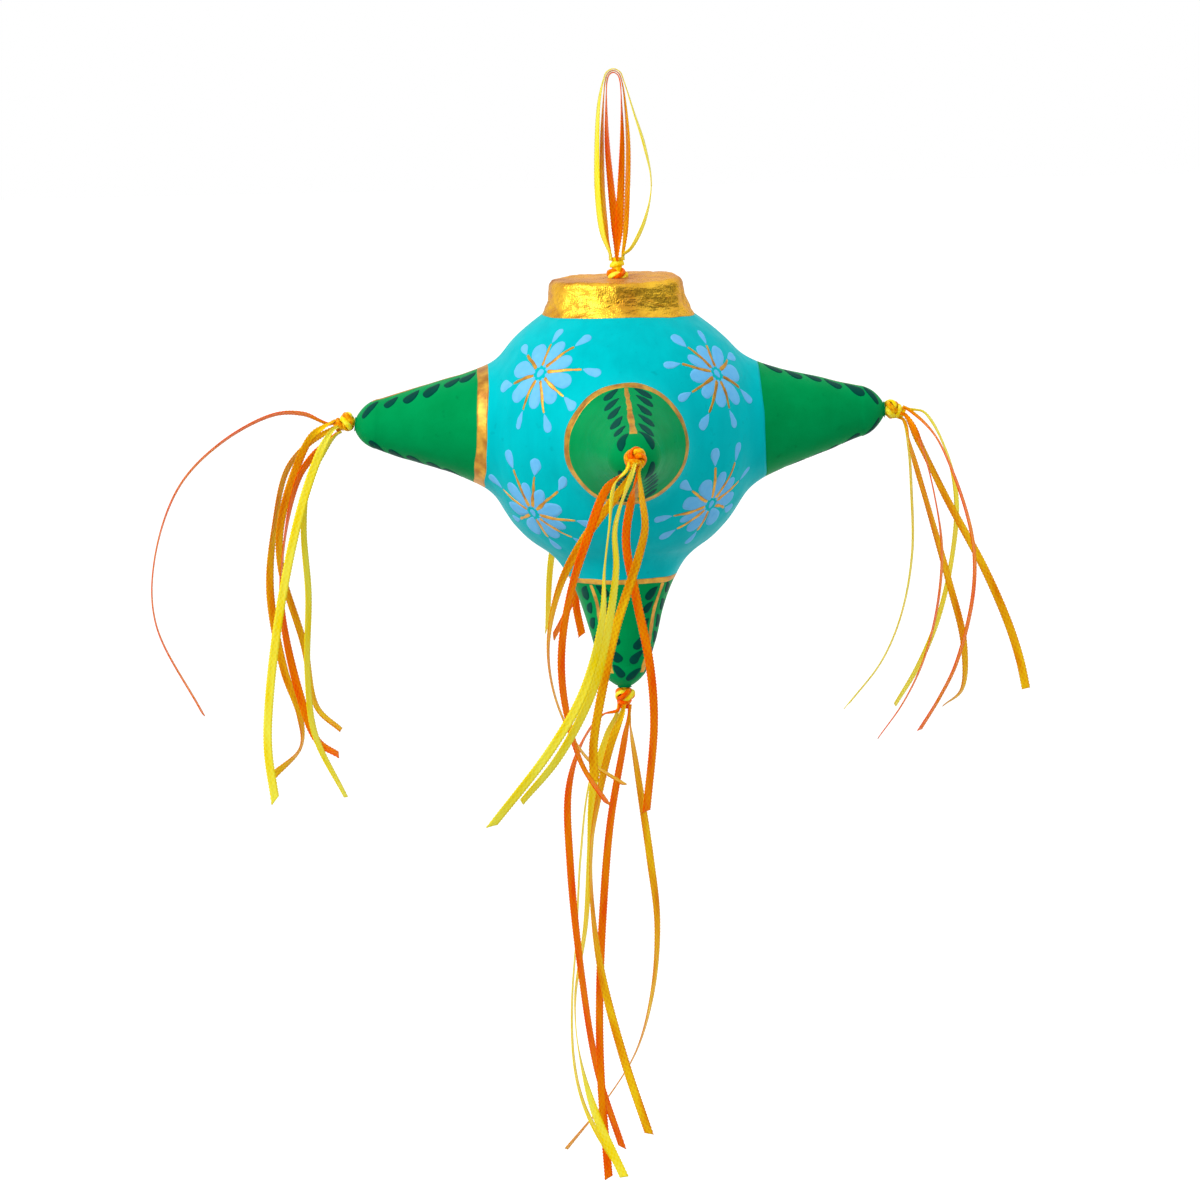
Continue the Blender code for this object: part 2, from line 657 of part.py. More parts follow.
def add_tassels(star):
    for name, tails in TASSEL_TAILS.items():
        knot = tassel_knot_place(name)
        exit_way = TASSEL_EXITS[name].normalized()
        pivot = add_pivot(name + "_tassel_pivot", knot, star)
        for tail, (slot, offsets) in tails.items():
            route = chosen_points(offsets, knot)
            route = leaving_points(knot, TASSEL_KNOT_RADIUS, exit_way, slot, route[0].w) + route
            add_ribbon(name + "_tail_" + tail, route, RIBBON_FINISH[tail.split("_")[0]], pivot)


def add_loop(mount):
    knot = hanger_knot_place()
    for colour, (first_slot, last_slot, offsets) in LOOP_RIBBONS.items():
        route = chosen_points(offsets, Vector((0, 0, 0)))
        start = leaving_points(knot, HANGER_KNOT_RADIUS, UP, first_slot, route[0].w)
        end = leaving_points(knot, HANGER_KNOT_RADIUS, UP, last_slot, -route[-1].w)
        downwards = [Vector((*point.xyz, -point.w)) for point in reversed(end)]
        route = start + route + downwards
        add_ribbon("loop_ribbon_" + colour, route, RIBBON_FINISH[colour], mount, both_ends=True)


def build():
    clear_scene()
    mount = add_pivot("hook_point", Vector((0, 0, 0)))
    hanger = add_pivot("hanger_pivot", hanger_knot_place(), mount)
    star = add_pivot("star_pivot", hanger_knot_place(), hanger)
    add_body_shell(star)
    add_neck(star)
    add_cones(star)
    add_knots(star, hanger)
    add_tassels(star)
    add_loop(mount)


build()
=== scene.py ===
"""A painted papier-mache pinata star with ribbon tassels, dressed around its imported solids.

Metres, +Z up. The origin is the inside of the hanging loop's top, and the front cone points along -Y.
"""
import math

import bmesh
import bpy
from mathutils import Matrix, Vector, noise
from mathutils.bvhtree import BVHTree


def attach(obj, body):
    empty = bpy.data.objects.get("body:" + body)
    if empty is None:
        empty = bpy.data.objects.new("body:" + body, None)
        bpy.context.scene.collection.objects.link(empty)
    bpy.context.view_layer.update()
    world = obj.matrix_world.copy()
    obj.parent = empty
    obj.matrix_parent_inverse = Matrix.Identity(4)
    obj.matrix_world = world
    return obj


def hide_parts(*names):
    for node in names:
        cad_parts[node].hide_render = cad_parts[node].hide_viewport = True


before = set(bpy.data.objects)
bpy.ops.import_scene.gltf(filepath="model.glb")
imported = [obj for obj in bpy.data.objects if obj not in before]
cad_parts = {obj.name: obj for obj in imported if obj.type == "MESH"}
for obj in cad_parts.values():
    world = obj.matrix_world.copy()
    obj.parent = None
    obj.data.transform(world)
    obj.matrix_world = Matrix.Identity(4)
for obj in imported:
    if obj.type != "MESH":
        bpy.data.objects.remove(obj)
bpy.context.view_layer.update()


# The globe
# Papier-mache laid up over a balloon, so it is round but lumpy, and painted turquoise with a brush.
# It has five mouths that flare out to meet the cones, and a sixth on top for the neck.

GLOBE_CENTRE = Vector((0.0, 0.0, -0.121))
GLOBE_RADIUS = 0.0478
NECK_RADIUS = 0.0262

# A mouth's outer radius and its distance from the globe's centre, and the depth of its lip. Its flare
# ends at some degrees from the cone's axis.

SIDE_MOUTH = (0.0199, 0.0476)
BOTTOM_MOUTH = (0.0180, 0.0500)
LIP_DEPTH = 0.0012
FLARE_END = 35
NECK_PATCH_END = 40
FLARE_SHARPNESS = 2.6
SKIN_SEGMENTS = 144
FLARE_STEPS = 14
BALL_STEPS = 10
WELD_DISTANCE = 0.000002

# The size and the height of the lumps in the paper, from the largest to the smallest

LUMPS = ((0.045, 0.0011), (0.017, 0.00060), (0.0075, 0.00018))
LUMP_SEED = 53

# Paint colours, as a screen shows them: full, where the brush left it thin, and in the dirty pits

TURQUOISE = (0, 188, 195)
THIN_TURQUOISE = (0, 178, 186)
TURQUOISE_DIRT = (8, 156, 164)

UP = Vector((0, 0, 1))
TOWARDS_BACK = Vector((0, 1, 0))

# The way that each cone points. The two side cones are then tilted up by SIDE_RISE degrees.

SIDE_RISE = 3.1
ARMS = {
    "left": (Vector((-1, 0, 0)), SIDE_RISE),
    "right": (Vector((1, 0, 0)), SIDE_RISE),
    "front": (Vector((0, -1, 0)), 0.0),
    "rear": (Vector((0, 1, 0)), 0.0),
    "bottom": (Vector((0, 0, -1)), 0.0),
}


def arm_frame(cube_axis, rise):
    """Columns are two crosswise axes and the arm's own axis, tilted upwards by rise degrees."""
    upward = UP if abs(cube_axis.z) < 0.5 else TOWARDS_BACK
    across = upward.cross(cube_axis)
    tilt = Matrix.Rotation(-math.radians(rise), 3, across)
    axis = tilt @ cube_axis
    return Matrix((across, axis.cross(across), axis)).transposed()


ARM_FRAMES = {name: arm_frame(axis, rise) for name, (axis, rise) in ARMS.items()}
ARM_FRAMES["top"] = arm_frame(UP, 0.0)


def mouth_sizes(name):
    """Outer radius of a mouth, and its distance from the globe's centre."""
    if name == "top":
        return NECK_RADIUS, math.sqrt(GLOBE_RADIUS ** 2 - NECK_RADIUS ** 2)
    return BOTTOM_MOUTH if name == "bottom" else SIDE_MOUTH


# Unseeded noise differs from run to run. This seed keeps every mouth within 0.2 mm of its place
noise.seed_set(LUMP_SEED)


def hand_shaped(point):
    """Where the lumpy paper has a point of the smooth form. Points are about the globe's centre."""
    moved = point.copy()
    for size, height in LUMPS:
        moved += noise.noise_vector(point / size) * height
    return moved


def ring_turns():
    return [2 * math.pi * step / SKIN_SEGMENTS for step in range(SKIN_SEGMENTS)]


def circle_ring(arm, radius, distance):
    """Points of a circle round an arm's axis, at a distance from the globe's centre."""
    places = [(radius * math.cos(turn), radius * math.sin(turn), distance) for turn in ring_turns()]
    return [ARM_FRAMES[arm] @ Vector(place) for place in places]


def patch_edge(name):
    """Directions to the edge of a mouth's patch, which is one face of a cube blown up to a ball."""
    cube = arm_frame(UP if name == "top" else ARMS[name][0], 0.0)
    directions = []
    for turn in ring_turns():
        across = math.cos(turn)
        upward = math.sin(turn)
        reach = max(abs(across), abs(upward))
        directions.append((cube @ Vector((across / reach, upward / reach, 1.0))).normalized())
    return directions


def globe_rings(name):
    """Rings from inside a mouth's lip down its flare to the plain ball, and on to the patch's edge."""
    radius, distance = mouth_sizes(name)
    mouth_turn = math.atan2(radius, distance)
    mouth_reach = math.hypot(radius, distance)
    flare_turn = math.radians(NECK_PATCH_END if name == "top" else FLARE_END) - mouth_turn
    rings = [circle_ring(name, radius - LIP_DEPTH, distance - LIP_DEPTH)]
    for step in range(FLARE_STEPS + 1):
        share = step / FLARE_STEPS
        turn = mouth_turn + share * flare_turn
        reach = GLOBE_RADIUS + (mouth_reach - GLOBE_RADIUS) * (1.0 - share) ** FLARE_SHARPNESS
        rings.append(circle_ring(name, reach * math.sin(turn), reach * math.cos(turn)))
    pairs = list(zip(rings[-1], patch_edge(name)))
    for step in range(1, BALL_STEPS + 1):
        share = step / BALL_STEPS
        ways = [start.normalized().lerp(end, share).normalized() for start, end in pairs]
        rings.append([way * GLOBE_RADIUS for way in ways])
    return rings


def lay_paper(bm, rings):
    """Skin rings of points about the globe's centre with a closed band of lumpy paper."""
    loops = [[bm.verts.new(hand_shaped(point) + GLOBE_CENTRE) for point in ring] for ring in rings]
    for near, far in zip(loops, loops[1:]):
        for step in range(len(near)):
            after = (step + 1) % len(near)
            bm.faces.new((near[step], near[after], far[after], far[step]))


def add_piece(name, bm, materials, body):
    """Put a mesh into the scene as one named piece that rides on a body."""
    mesh = bpy.data.meshes.new(name)
    bm.to_mesh(mesh)
    bm.free()
    mesh.shade_smooth()
    piece = bpy.data.objects.new(name, mesh)
    bpy.context.scene.collection.objects.link(piece)
    for material in materials:
        mesh.materials.append(material)
    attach(piece, body)
    return piece


def screen_colour(colour):
    """An 8-bit screen colour as the linear colour that a shader takes."""
    return (*[(channel / 255) ** 2.2 for channel in colour], 1.0)


def add_node(tree, kind, inputs=None, **settings):
    """Add a shader node, with its settings and its inputs. An input is a value or a socket to link."""
    node = tree.nodes.new("ShaderNode" + kind)
    for name, value in settings.items():
        setattr(node, name, value)
    for name, value in (inputs or {}).items():
        if isinstance(value, bpy.types.NodeSocket):
            tree.links.new(value, node.inputs[name])
        else:
            node.inputs[name].default_value = value
    return node


def new_group(name, inputs):
    """Start a group of nodes for colour, roughness and height. Inputs are (name, kind, value)."""
    group = bpy.data.node_groups.new(name, "ShaderNodeTree")
    for label, kind, value in inputs:
        socket = group.interface.new_socket(label, in_out="INPUT", socket_type="NodeSocket" + kind)
        socket.default_value = value
    for label, kind in (("Colour", "Color"), ("Roughness", "Float"), ("Height", "Float")):
        group.interface.new_socket(label, in_out="OUTPUT", socket_type="NodeSocket" + kind)
    return group, group.nodes.new("NodeGroupInput").outputs


def end_group(group, colour, roughness, height):
    """Link what a group has worked out to its three outputs."""
    out = group.nodes.new("NodeGroupOutput").inputs
    group.links.new(colour, out["Colour"])
    group.links.new(roughness, out["Roughness"])
    group.links.new(height, out["Height"])
    return group


def arithmetic(tree, operation, *values, **settings):
    """What a Math node makes of values, each of them a number or a socket."""
    return add_node(tree, "Math", dict(enumerate(values)), operation=operation, **settings).outputs[0]


def rescaled(tree, value, low, high, highest=1.0):
    """A value between low and high, spread over 0 to highest and held there."""
    inputs = {"Value": value, "From Min": low, "From Max": high, "To Max": highest}
    return add_node(tree, "MapRange", inputs).outputs[0]


def mixed(tree, share, first, second):
    """A colour between two others: share 0 gives the first and share 1 the second."""
    inputs = {"Factor": share, "A": first, "B": second}
    return add_node(tree, "Mix", inputs, data_type="RGBA").outputs["Result"]


def stretched(tree, place, scales):
    """A place with each of its three coordinates multiplied by its own scale."""
    return add_node(tree, "VectorMath", {0: place, 1: scales}, operation="MULTIPLY").outputs[0]


def grain(tree, place, scale, detail, roughness=0.5):
    """Cloudy noise. Its scale is about the number of clouds in one unit of the place."""
    inputs = {"Vector": place, "Scale": scale, "Detail": detail, "Roughness": roughness}
    return add_node(tree, "TexNoise", inputs).outputs["Fac"]


def brushed_paint_group():
    """Poster paint brushed over paper: uneven cover, brush marks, paper fibres and small pits."""
    group, given = new_group("brushed paint", (
        ("Full Colour", "Color", (1, 1, 1, 1)),
        ("Thin Colour", "Color", (1, 1, 1, 1)),
        ("Grime", "Color", (1, 1, 1, 1)),
        ("Brush Marks", "Vector", (1, 1, 1)),
        ("Dullness", "Float", 0.5),
    ))
    place = add_node(group, "TexCoord").outputs["Object"]
    marks = grain(group, stretched(group, place, given["Brush Marks"]), 1.0, 3.0)
    cover = grain(group, place, 55.0, 3.0, 0.6)
    paper_lumps = grain(group, place, 330.0, 2.0)
    fibres = grain(group, place, 1500.0, 2.0)
    thinness = rescaled(group, arithmetic(group, "ADD", marks, cover), 0.78, 1.25, 0.85)
    painted = mixed(group, thinness, given["Full Colour"], given["Thin Colour"])
    pits = rescaled(group, paper_lumps, 0.66, 0.82, 0.55)
    aged = mixed(group, pits, painted, given["Grime"])
    roughness = arithmetic(group, "MULTIPLY_ADD", marks, 0.22, given["Dullness"])
    coarse = arithmetic(group, "MULTIPLY_ADD", paper_lumps, 1.6, marks)
    height = arithmetic(group, "MULTIPLY_ADD", fibres, 0.35, coarse)
    return end_group(group, aged, roughness, height)


brushed_paint = brushed_paint_group()


def new_material(name):
    material = bpy.data.materials.new(name)
    material.use_nodes = True
    return material, material.node_tree, material.node_tree.nodes["Principled BSDF"]


def set_sockets(shader, finish):
    """Set a shader's own sockets by their names."""
    for label, value in finish.items():
        shader.inputs[label].default_value = value


def grouped_material(name, group, values, relief, finish):
    """A material whose colour, roughness and relief come from a group of nodes with these values."""
    material, tree, shader = new_material(name)
    effect = add_node(tree, "Group", values, node_tree=group).outputs
    bump = add_node(tree, "Bump", {"Height": effect["Height"], "Strength": 1.0, "Distance": relief})
    tree.links.new(effect["Colour"], shader.inputs["Base Color"])
    tree.links.new(effect["Roughness"], shader.inputs["Roughness"])
    tree.links.new(bump.outputs["Normal"], shader.inputs["Normal"])
    set_sockets(shader, finish)
    return material


def paint_material(name, full, thin, grime, marks, dullness, relief):
    """Matt poster paint. Its brush marks are counted in a metre along each axis."""
    values = {
        "Full Colour": screen_colour(full),
        "Thin Colour": screen_colour(thin),
        "Grime": screen_colour(grime),
        "Brush Marks": marks,
        "Dullness": dullness,
    }
    finish = {"Specular IOR Level": 0.03, "Specular Tint": screen_colour(full)}
    return grouped_material(name, brushed_paint, values, relief, finish)


turquoise_paint = paint_material(
    "turquoise_paint",
    TURQUOISE,
    THIN_TURQUOISE,
    TURQUOISE_DIRT,
    marks=(260, 260, 45),
    dullness=0.34,
    relief=0.00006,
)


def globe_mesh():
    """Six patches, one round each mouth, welded along their edges."""
    bm = bmesh.new()
    for name in ARM_FRAMES:
        lay_paper(bm, globe_rings(name))
    bmesh.ops.remove_doubles(bm, verts=bm.verts, dist=WELD_DISTANCE)
    bmesh.ops.recalc_face_normals(bm, faces=bm.faces)
    return bm


globe = add_piece("painted_globe", globe_mesh(), [turquoise_paint], "star")
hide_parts("body_shell")


# The neck
# A flat-topped paper collar glued over the globe's top mouth. Gold leaf is rubbed on over its dents
# and folds, so it shines in crumpled patches. Painted shade darkens its gold in patches and creases,
# and a dull tan sheen shows where it turns away.

NECK_HEIGHT = 0.0110

# The crumpled cap stands this much higher than the solid's

CRUMPLED_RISE = 0.0011
NECK_TAPER = 0.0029
TAPER_SHARPNESS = 1.5
NECK_EDGE_RADIUS = 0.0026
NECK_LEAN = 0.0009
NECK_TILT = 0.022
CORD_HOLE_RADIUS = 0.0014
CORD_HOLE_DEPTH = 0.0015
NECK_SIDE_STEPS = 44
NECK_EDGE_STEPS = 8
NECK_CAP_STEPS = 32

# Creases in the paper: their size and depth. They are weaker on the cap, sink it more than the side,
# and fade out near the foot and near the cord's hole.

CRUMPLES = ((0.0115, 0.0013), (0.0052, 0.0007), (0.0021, 0.00026))
CAP_CREASES = 0.25
CAP_SINKING = 0.55
SIDE_SINKING = 0.12
SIDE_SHARPNESS = 6
FOOT_FADE = 0.0035
HOLE_FADE = 0.006
FOLD_SLANT = 9.0

# Folds down the neck: degrees round from the front towards the right, width in degrees, and depth

NECK_FOLDS = (
    (-6, 5, 0.0007),
    (-52, 7, -0.0006),
    (-38, 6, 0.0005),
    (36, 6, 0.0006),
    (58, 8, -0.0005),
    (104, 7, 0.0006),
    (150, 9, -0.0005),
    (196, 6, 0.0007),
    (246, 8, 0.0005),
)

# The leaf's own gold, the darker gold painted in as shade, the tint of its gloss at the edge, and its tan
# sheen
BRIGHT_LEAF = (252, 198, 54)
SHADED_LEAF = (176, 100, 8)
GOLD_EDGE_TINT = (205, 160, 125)
DULL_GOLD = (208, 152, 88)


def neck_rings():
    """Rings up the neck's side, over its rounded edge and in across its cap to the cord's hole."""
    foot = mouth_sizes("top")[1]
    top = foot + NECK_HEIGHT + CRUMPLED_RISE
    cap_radius = NECK_RADIUS - NECK_TAPER
    rings = [circle_ring("top", NECK_RADIUS - LIP_DEPTH, foot - LIP_DEPTH)]
    for step in range(NECK_SIDE_STEPS + 1):
        share = step / NECK_SIDE_STEPS
        drawn_in = NECK_TAPER * (1.0 - (1.0 - share) ** TAPER_SHARPNESS)
        height = foot + (top - NECK_EDGE_RADIUS - foot) * share
        rings.append(circle_ring("top", NECK_RADIUS - drawn_in, height))
    for step in range(1, NECK_EDGE_STEPS + 1):
        corner = math.radians(90 * step / NECK_EDGE_STEPS)
        across = cap_radius - NECK_EDGE_RADIUS * (1.0 - math.cos(corner))
        rings.append(circle_ring("top", across, top - NECK_EDGE_RADIUS * (1.0 - math.sin(corner))))
    rim = cap_radius - NECK_EDGE_RADIUS
    for step in range(1, NECK_CAP_STEPS + 1):
        rings.append(circle_ring("top", rim + (CORD_HOLE_RADIUS - rim) * step / NECK_CAP_STEPS, top))
    rings.append(circle_ring("top", CORD_HOLE_RADIUS, top - CORD_HOLE_DEPTH))
    return rings


def crumpled(point, foot):
    """Fold and dent the leaf-covered paper, but leave the foot where it meets the globe."""
    reach = math.hypot(point.x, point.y)
    around = math.degrees(math.atan2(point.x, -point.y))
    outward = Vector((point.x, point.y, 0)).normalized()
    at_side = min(reach / NECK_RADIUS, 1.0) ** SIDE_SHARPNESS
    inwards = 0.0
    for turn, width, depth in NECK_FOLDS:
        slant = (point.z - foot) / NECK_HEIGHT * FOLD_SLANT
        apart = (around - turn + slant * math.copysign(1.0, depth) + 180.0) % 360.0 - 180.0
        inwards += depth * math.exp(-(apart / width) ** 2) * at_side
    for size, height in CRUMPLES:
        crease = 1.0 - abs(noise.noise(point / size)) * 2.0
        inwards += height * crease * abs(crease) * (CAP_CREASES + (1.0 - CAP_CREASES) * at_side)
    sunk = UP * (CAP_SINKING * (1.0 - at_side) + SIDE_SINKING)
    past_foot = min(max((point.z - foot) / FOOT_FADE, 0.0), 1.0)
    past_hole = min(reach / HOLE_FADE, 1.0)
    dented = point - (outward * at_side + sunk) * inwards * past_foot * past_hole
    rise = max(point.z - foot, 0.0) / NECK_HEIGHT
    return dented + Vector((-NECK_LEAN, 0.0, NECK_TILT * point.x)) * rise


def neck_mesh():
    bm = bmesh.new()
    foot = mouth_sizes("top")[1]
    lay_paper(bm, [[crumpled(point, foot) for point in ring] for ring in neck_rings()])
    bmesh.ops.recalc_face_normals(bm, faces=bm.faces)
    return bm


def gilding_group():
    """Gold leaf or gold paint: its gold darkened by painted shade in patches and creases, and speckled."""
    group, given = new_group("gilding", (
        ("Bright Gold", "Color", (1, 1, 1, 1)),
        ("Shaded Gold", "Color", (1, 1, 1, 1)),
        ("Patches", "Float", 90.0),
        ("Wrinkles", "Vector", (1, 1, 1)),
        ("Dullness", "Float", 0.3),
    ))
    place = add_node(group, "TexCoord").outputs["Object"]
    wrinkles = grain(group, stretched(group, place, given["Wrinkles"]), 1.0, 4.0)
    patches = grain(group, place, given["Patches"], 3.0)
    flakes = add_node(group, "TexVoronoi", {"Vector": place, "Scale": 1700.0}).outputs
    # Painted shade: noise patches and creases turn the gold darker, for facets turned from the light
    shade_patches = rescaled(group, patches, 0.40, 0.68)
    fold_shade = rescaled(group, wrinkles, 0.55, 0.75, 0.6)
    painted_shade = arithmetic(group, "MAXIMUM", shade_patches, fold_shade)
    colour = mixed(group, painted_shade, given["Bright Gold"], given["Shaded Gold"])
    roughness = arithmetic(group, "MULTIPLY_ADD", flakes["Color"], 0.16, given["Dullness"])
    height = arithmetic(group, "MULTIPLY_ADD", flakes["Distance"], 0.25, wrinkles)
    return end_group(group, colour, roughness, height)


gilding = gilding_group()


def gold_material(name, bright, painted_shade, patches, wrinkles, dullness, relief, metal):
    """Gold leaf or paint. Its patches and wrinkles are counted in a metre, and metal is 0 to 1."""
    values = {
        "Bright Gold": screen_colour(bright),
        "Shaded Gold": screen_colour(painted_shade),
        "Patches": patches,
        "Wrinkles": wrinkles,
        "Dullness": dullness,
    }
    finish = {
        "Metallic": metal,
        "Coat Weight": 0.25,
        "Coat Roughness": 0.3,
        "Specular Tint": screen_colour(GOLD_EDGE_TINT),
        "Sheen Weight": 0.8,
        "Sheen Roughness": 0.35,
        "Sheen Tint": screen_colour(DULL_GOLD),
    }
    return grouped_material(name, gilding, values, relief, finish)


gold_leaf = gold_material(
    "gold_leaf",
    BRIGHT_LEAF,
    SHADED_LEAF,
    patches=80.0,
    wrinkles=(230, 230, 560),
    dullness=0.24,
    relief=0.00045,
    metal=0.9,
)
neck = add_piece("gilded_neck", neck_mesh(), [gold_leaf], "star")
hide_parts("neck_collar")


# The cones
# Rolled paper cones with blunt noses, glued into the globe's mouths and painted green. The paper's
# cut end turns out in a small uneven lip round the ribbons that come through each tip.

SIDE_CONE_REACH = 0.0900
BOTTOM_CONE_REACH = 0.0880

# A cone's side is slightly hollow, most of all at a share of its length, and ends in a blunt nose

CONE_HOLLOW = 0.00045
HOLLOW_PLACE = 0.3
NOSE_LENGTH = 0.0078
NOSE_RADIUS = 0.0087
NOSE_SLOPE = 0.38
NOSE_BLUNTNESS = 2.8

# The paper's cut end: a lip that rolls out from its root, and then in to the hole

TIP_RADIUS = 0.0021
TIP_LIP = 0.0006
TIP_LIP_ROOT = 0.4
TIP_LIP_RISE = 0.0001
TIP_LIP_TUCK = 0.0003
TIP_LIP_BEVEL = 0.0002
LIP_UNEVENNESS = 0.22
LIP_WAVE = 0.0024
TIP_HOLE_RADIUS = 0.0013
TIP_HOLE_DEPTH = 0.0030
TAPER_STEPS = 40
NOSE_STEPS = 14

GREEN = (0, 146, 80)
THIN_GREEN = (0, 137, 73)
GREEN_DIRT = (3, 112, 62)

green_paint = paint_material(
    "green_paint", GREEN, THIN_GREEN, GREEN_DIRT, marks=(150, 150, 150), dullness=0.32, relief=0.00006
)


def cone_reach(name):
    return BOTTOM_CONE_REACH if name == "bottom" else SIDE_CONE_REACH


def cone_radius(name, distance):
    """A cone's outer radius at a distance from the globe's centre: a taper, then a blunt nose."""
    mouth_radius, mouth_distance = mouth_sizes(name)
    nose_start = cone_reach(name) - NOSE_LENGTH
    if distance <= nose_start:
        share = (distance - mouth_distance) / (nose_start - mouth_distance)
        place = share / HOLLOW_PLACE
        taper = mouth_radius + (NOSE_RADIUS - mouth_radius) * share
        return taper - CONE_HOLLOW * place * math.exp(1.0 - place)
    share = min((distance - nose_start) / NOSE_LENGTH, 1.0)
    drawn_in = NOSE_SLOPE * share + (1.0 - NOSE_SLOPE) * share ** NOSE_BLUNTNESS
    return NOSE_RADIUS + (TIP_RADIUS - NOSE_RADIUS) * drawn_in


def uneven_lip(name):
    """The cut end of the paper, which stands out further on one side than on the other."""
    height = cone_reach(name) + TIP_LIP_RISE
    middle = ARM_FRAMES[name].col[2] * height
    ring = []
    for point in circle_ring(name, TIP_RADIUS + TIP_LIP, height):
        stretch = 1.0 + LIP_UNEVENNESS * noise.noise(point / LIP_WAVE)
        ring.append(middle + (point - middle) * stretch)
    return ring


def cone_mesh(name):
    """A cone's paper, from inside the globe's mouth to the nose, over its lip and into its hole."""
    bm = bmesh.new()
    radius, mouth = mouth_sizes(name)
    reach = cone_reach(name)
    nose_start = reach - NOSE_LENGTH
    places = [mouth + (nose_start - mouth) * step / TAPER_STEPS for step in range(TAPER_STEPS)]
    places += [nose_start + NOSE_LENGTH * step / NOSE_STEPS for step in range(NOSE_STEPS)]
    rings = [circle_ring(name, radius - LIP_DEPTH, mouth - LIP_DEPTH)]
    rings += [circle_ring(name, cone_radius(name, place), place) for place in places]
    rings += [
        circle_ring(name, TIP_RADIUS + TIP_LIP * TIP_LIP_ROOT, reach - TIP_LIP_TUCK),
        uneven_lip(name),
        circle_ring(name, TIP_RADIUS - TIP_LIP_BEVEL, reach + TIP_LIP_RISE),
        circle_ring(name, TIP_HOLE_RADIUS, reach - TIP_LIP_TUCK),
        circle_ring(name, TIP_HOLE_RADIUS, reach - TIP_HOLE_DEPTH),
    ]
    lay_paper(bm, rings)
    bmesh.ops.recalc_face_normals(bm, faces=bm.faces)
    return bm


skins = [globe, neck]
for arm in ARMS:
    cone = add_piece("painted_" + arm + "_cone", cone_mesh(arm), [green_paint], "star")
    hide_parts(arm + "_cone")
    skins.append(cone)


# The gold rings
# A band of gold paint covers the seam between the globe and each cone. The band is brushed on by
# hand in short strokes, so its edges wander. The right cone's seam has none.

# Each band's two edges, in millimetres beyond its mouth

RING_BANDS = {
    "left": (-1.8, 1.8),
    "front": (-1.1, 1.5),
    "rear": (-1.5, 1.8),
    "bottom": (-0.9, 0.8),
}
RING_STATIONS = 180
RING_STEPS = 5
RING_WANDER = 0.56
RING_WAVES = 2.2
RING_NOISE_GAP = 5.0
EDGE_NOISE_GAP = 9.0

# Raised paint, in millimetres: its height above the paper, and the width and depth of its sunken rim

PAINT_LIFT = 0.05
SUNK_RIM = 0.05
MILLIMETRE = 0.001

# How far outside a cone's axis the rays start that find its paper

RAY_START = 0.035

# The gold paint's own colour, and the darker gold painted in as shade in its patches and creases
GOLD_PAINT = (212, 160, 56)
SHADED_GOLD_PAINT = (164, 108, 36)


def skins_tree():
    """The painted skins together, to cast rays at."""
    points = []
    faces = []
    for skin in skins:
        first = len(points)
        points += [vertex.co.copy() for vertex in skin.data.vertices]
        faces += [[first + index for index in face.vertices] for face in skin.data.polygons]
    return BVHTree.FromPolygons(points, faces)


paper = skins_tree()


def on_paper(start, target, lift):
    """Where a ray from outside meets the painted paper, lifted off it by some millimetres."""
    hit, normal = paper.ray_cast(start, (target - start).normalized())[:2]
    return hit + normal * lift * MILLIMETRE


def on_arm(arm, turn, along, lift):
    """A spot at some degrees round an arm and some millimetres beyond its mouth."""
    way = ARM_FRAMES[arm] @ Vector((math.cos(math.radians(turn)), math.sin(math.radians(turn)), 0.0))
    distance = mouth_sizes(arm)[1] + along * MILLIMETRE
    middle = GLOBE_CENTRE + ARM_FRAMES[arm].col[2] * distance
    return on_paper(middle + way * RAY_START, middle, lift)


def ring_mesh(number, arm):
    """A band of paint with sunken rims. Its noise is read round a circle, so the band's ends meet."""
    bm = bmesh.new()
    start, end = RING_BANDS[arm]
    loops = []
    for station in range(RING_STATIONS):
        turn = 360 * station / RING_STATIONS
        way = math.radians(turn)
        circle = Vector((math.cos(way), math.sin(way), number * RING_NOISE_GAP)) * RING_WAVES
        near = start + noise.noise(circle) * RING_WANDER
        far = end + noise.noise(circle + UP * EDGE_NOISE_GAP) * RING_WANDER
        row = [on_arm(arm, turn, near - SUNK_RIM, -PAINT_LIFT)]
        for step in range(RING_STEPS + 1):
            row.append(on_arm(arm, turn, near + (far - near) * step / RING_STEPS, PAINT_LIFT))
        row.append(on_arm(arm, turn, far + SUNK_RIM, -PAINT_LIFT))
        loops.append([bm.verts.new(point) for point in row])
    for station, here in enumerate(loops):
        after = loops[(station + 1) % RING_STATIONS]
        for step in range(len(here) - 1):
            bm.faces.new((here[step], after[step], after[step + 1], here[step + 1]))
    bmesh.ops.recalc_face_normals(bm, faces=bm.faces)
    return bm


gold_paint = gold_material(
    "gold_paint",
    GOLD_PAINT,
    SHADED_GOLD_PAINT,
    patches=260.0,
    wrinkles=(700, 700, 700),
    dullness=0.3,
    relief=0.0001,
    metal=0.55,
)

for number, arm in enumerate(RING_BANDS):
    ring = add_piece(arm + "_gold_ring", ring_mesh(number, arm), [gold_paint], "star")


# The flowers
# Eight folk flowers are painted between the cones with four kinds of brush stroke: a dot, eight
# petals, and eight gold stems that each end in a drop.

PETAL_ROOT = 2.2
PETAL_REACH = 12.6
PETAL_HALF_WIDTH = 3.0
PETAL_WIDEST = 8.2
PETAL_FILL = 0.86
PETAL_SHARPNESS = 0.62
STEM_ROOT = 2.3
STEM_HALF_WIDTHS = (0.68, 0.40)
DROP_LENGTH = 6.4
DROP_HALF_WIDTH = 1.75
DROP_SHARPNESS = 0.8
DOT_HALF_LENGTH = 1.55
DOT_HALF_WIDTH = 1.15
DOT_SHARPNESS = 0.5

# A brush stroke's shape: where its rows have points across it, from rim to rim, and its steps along

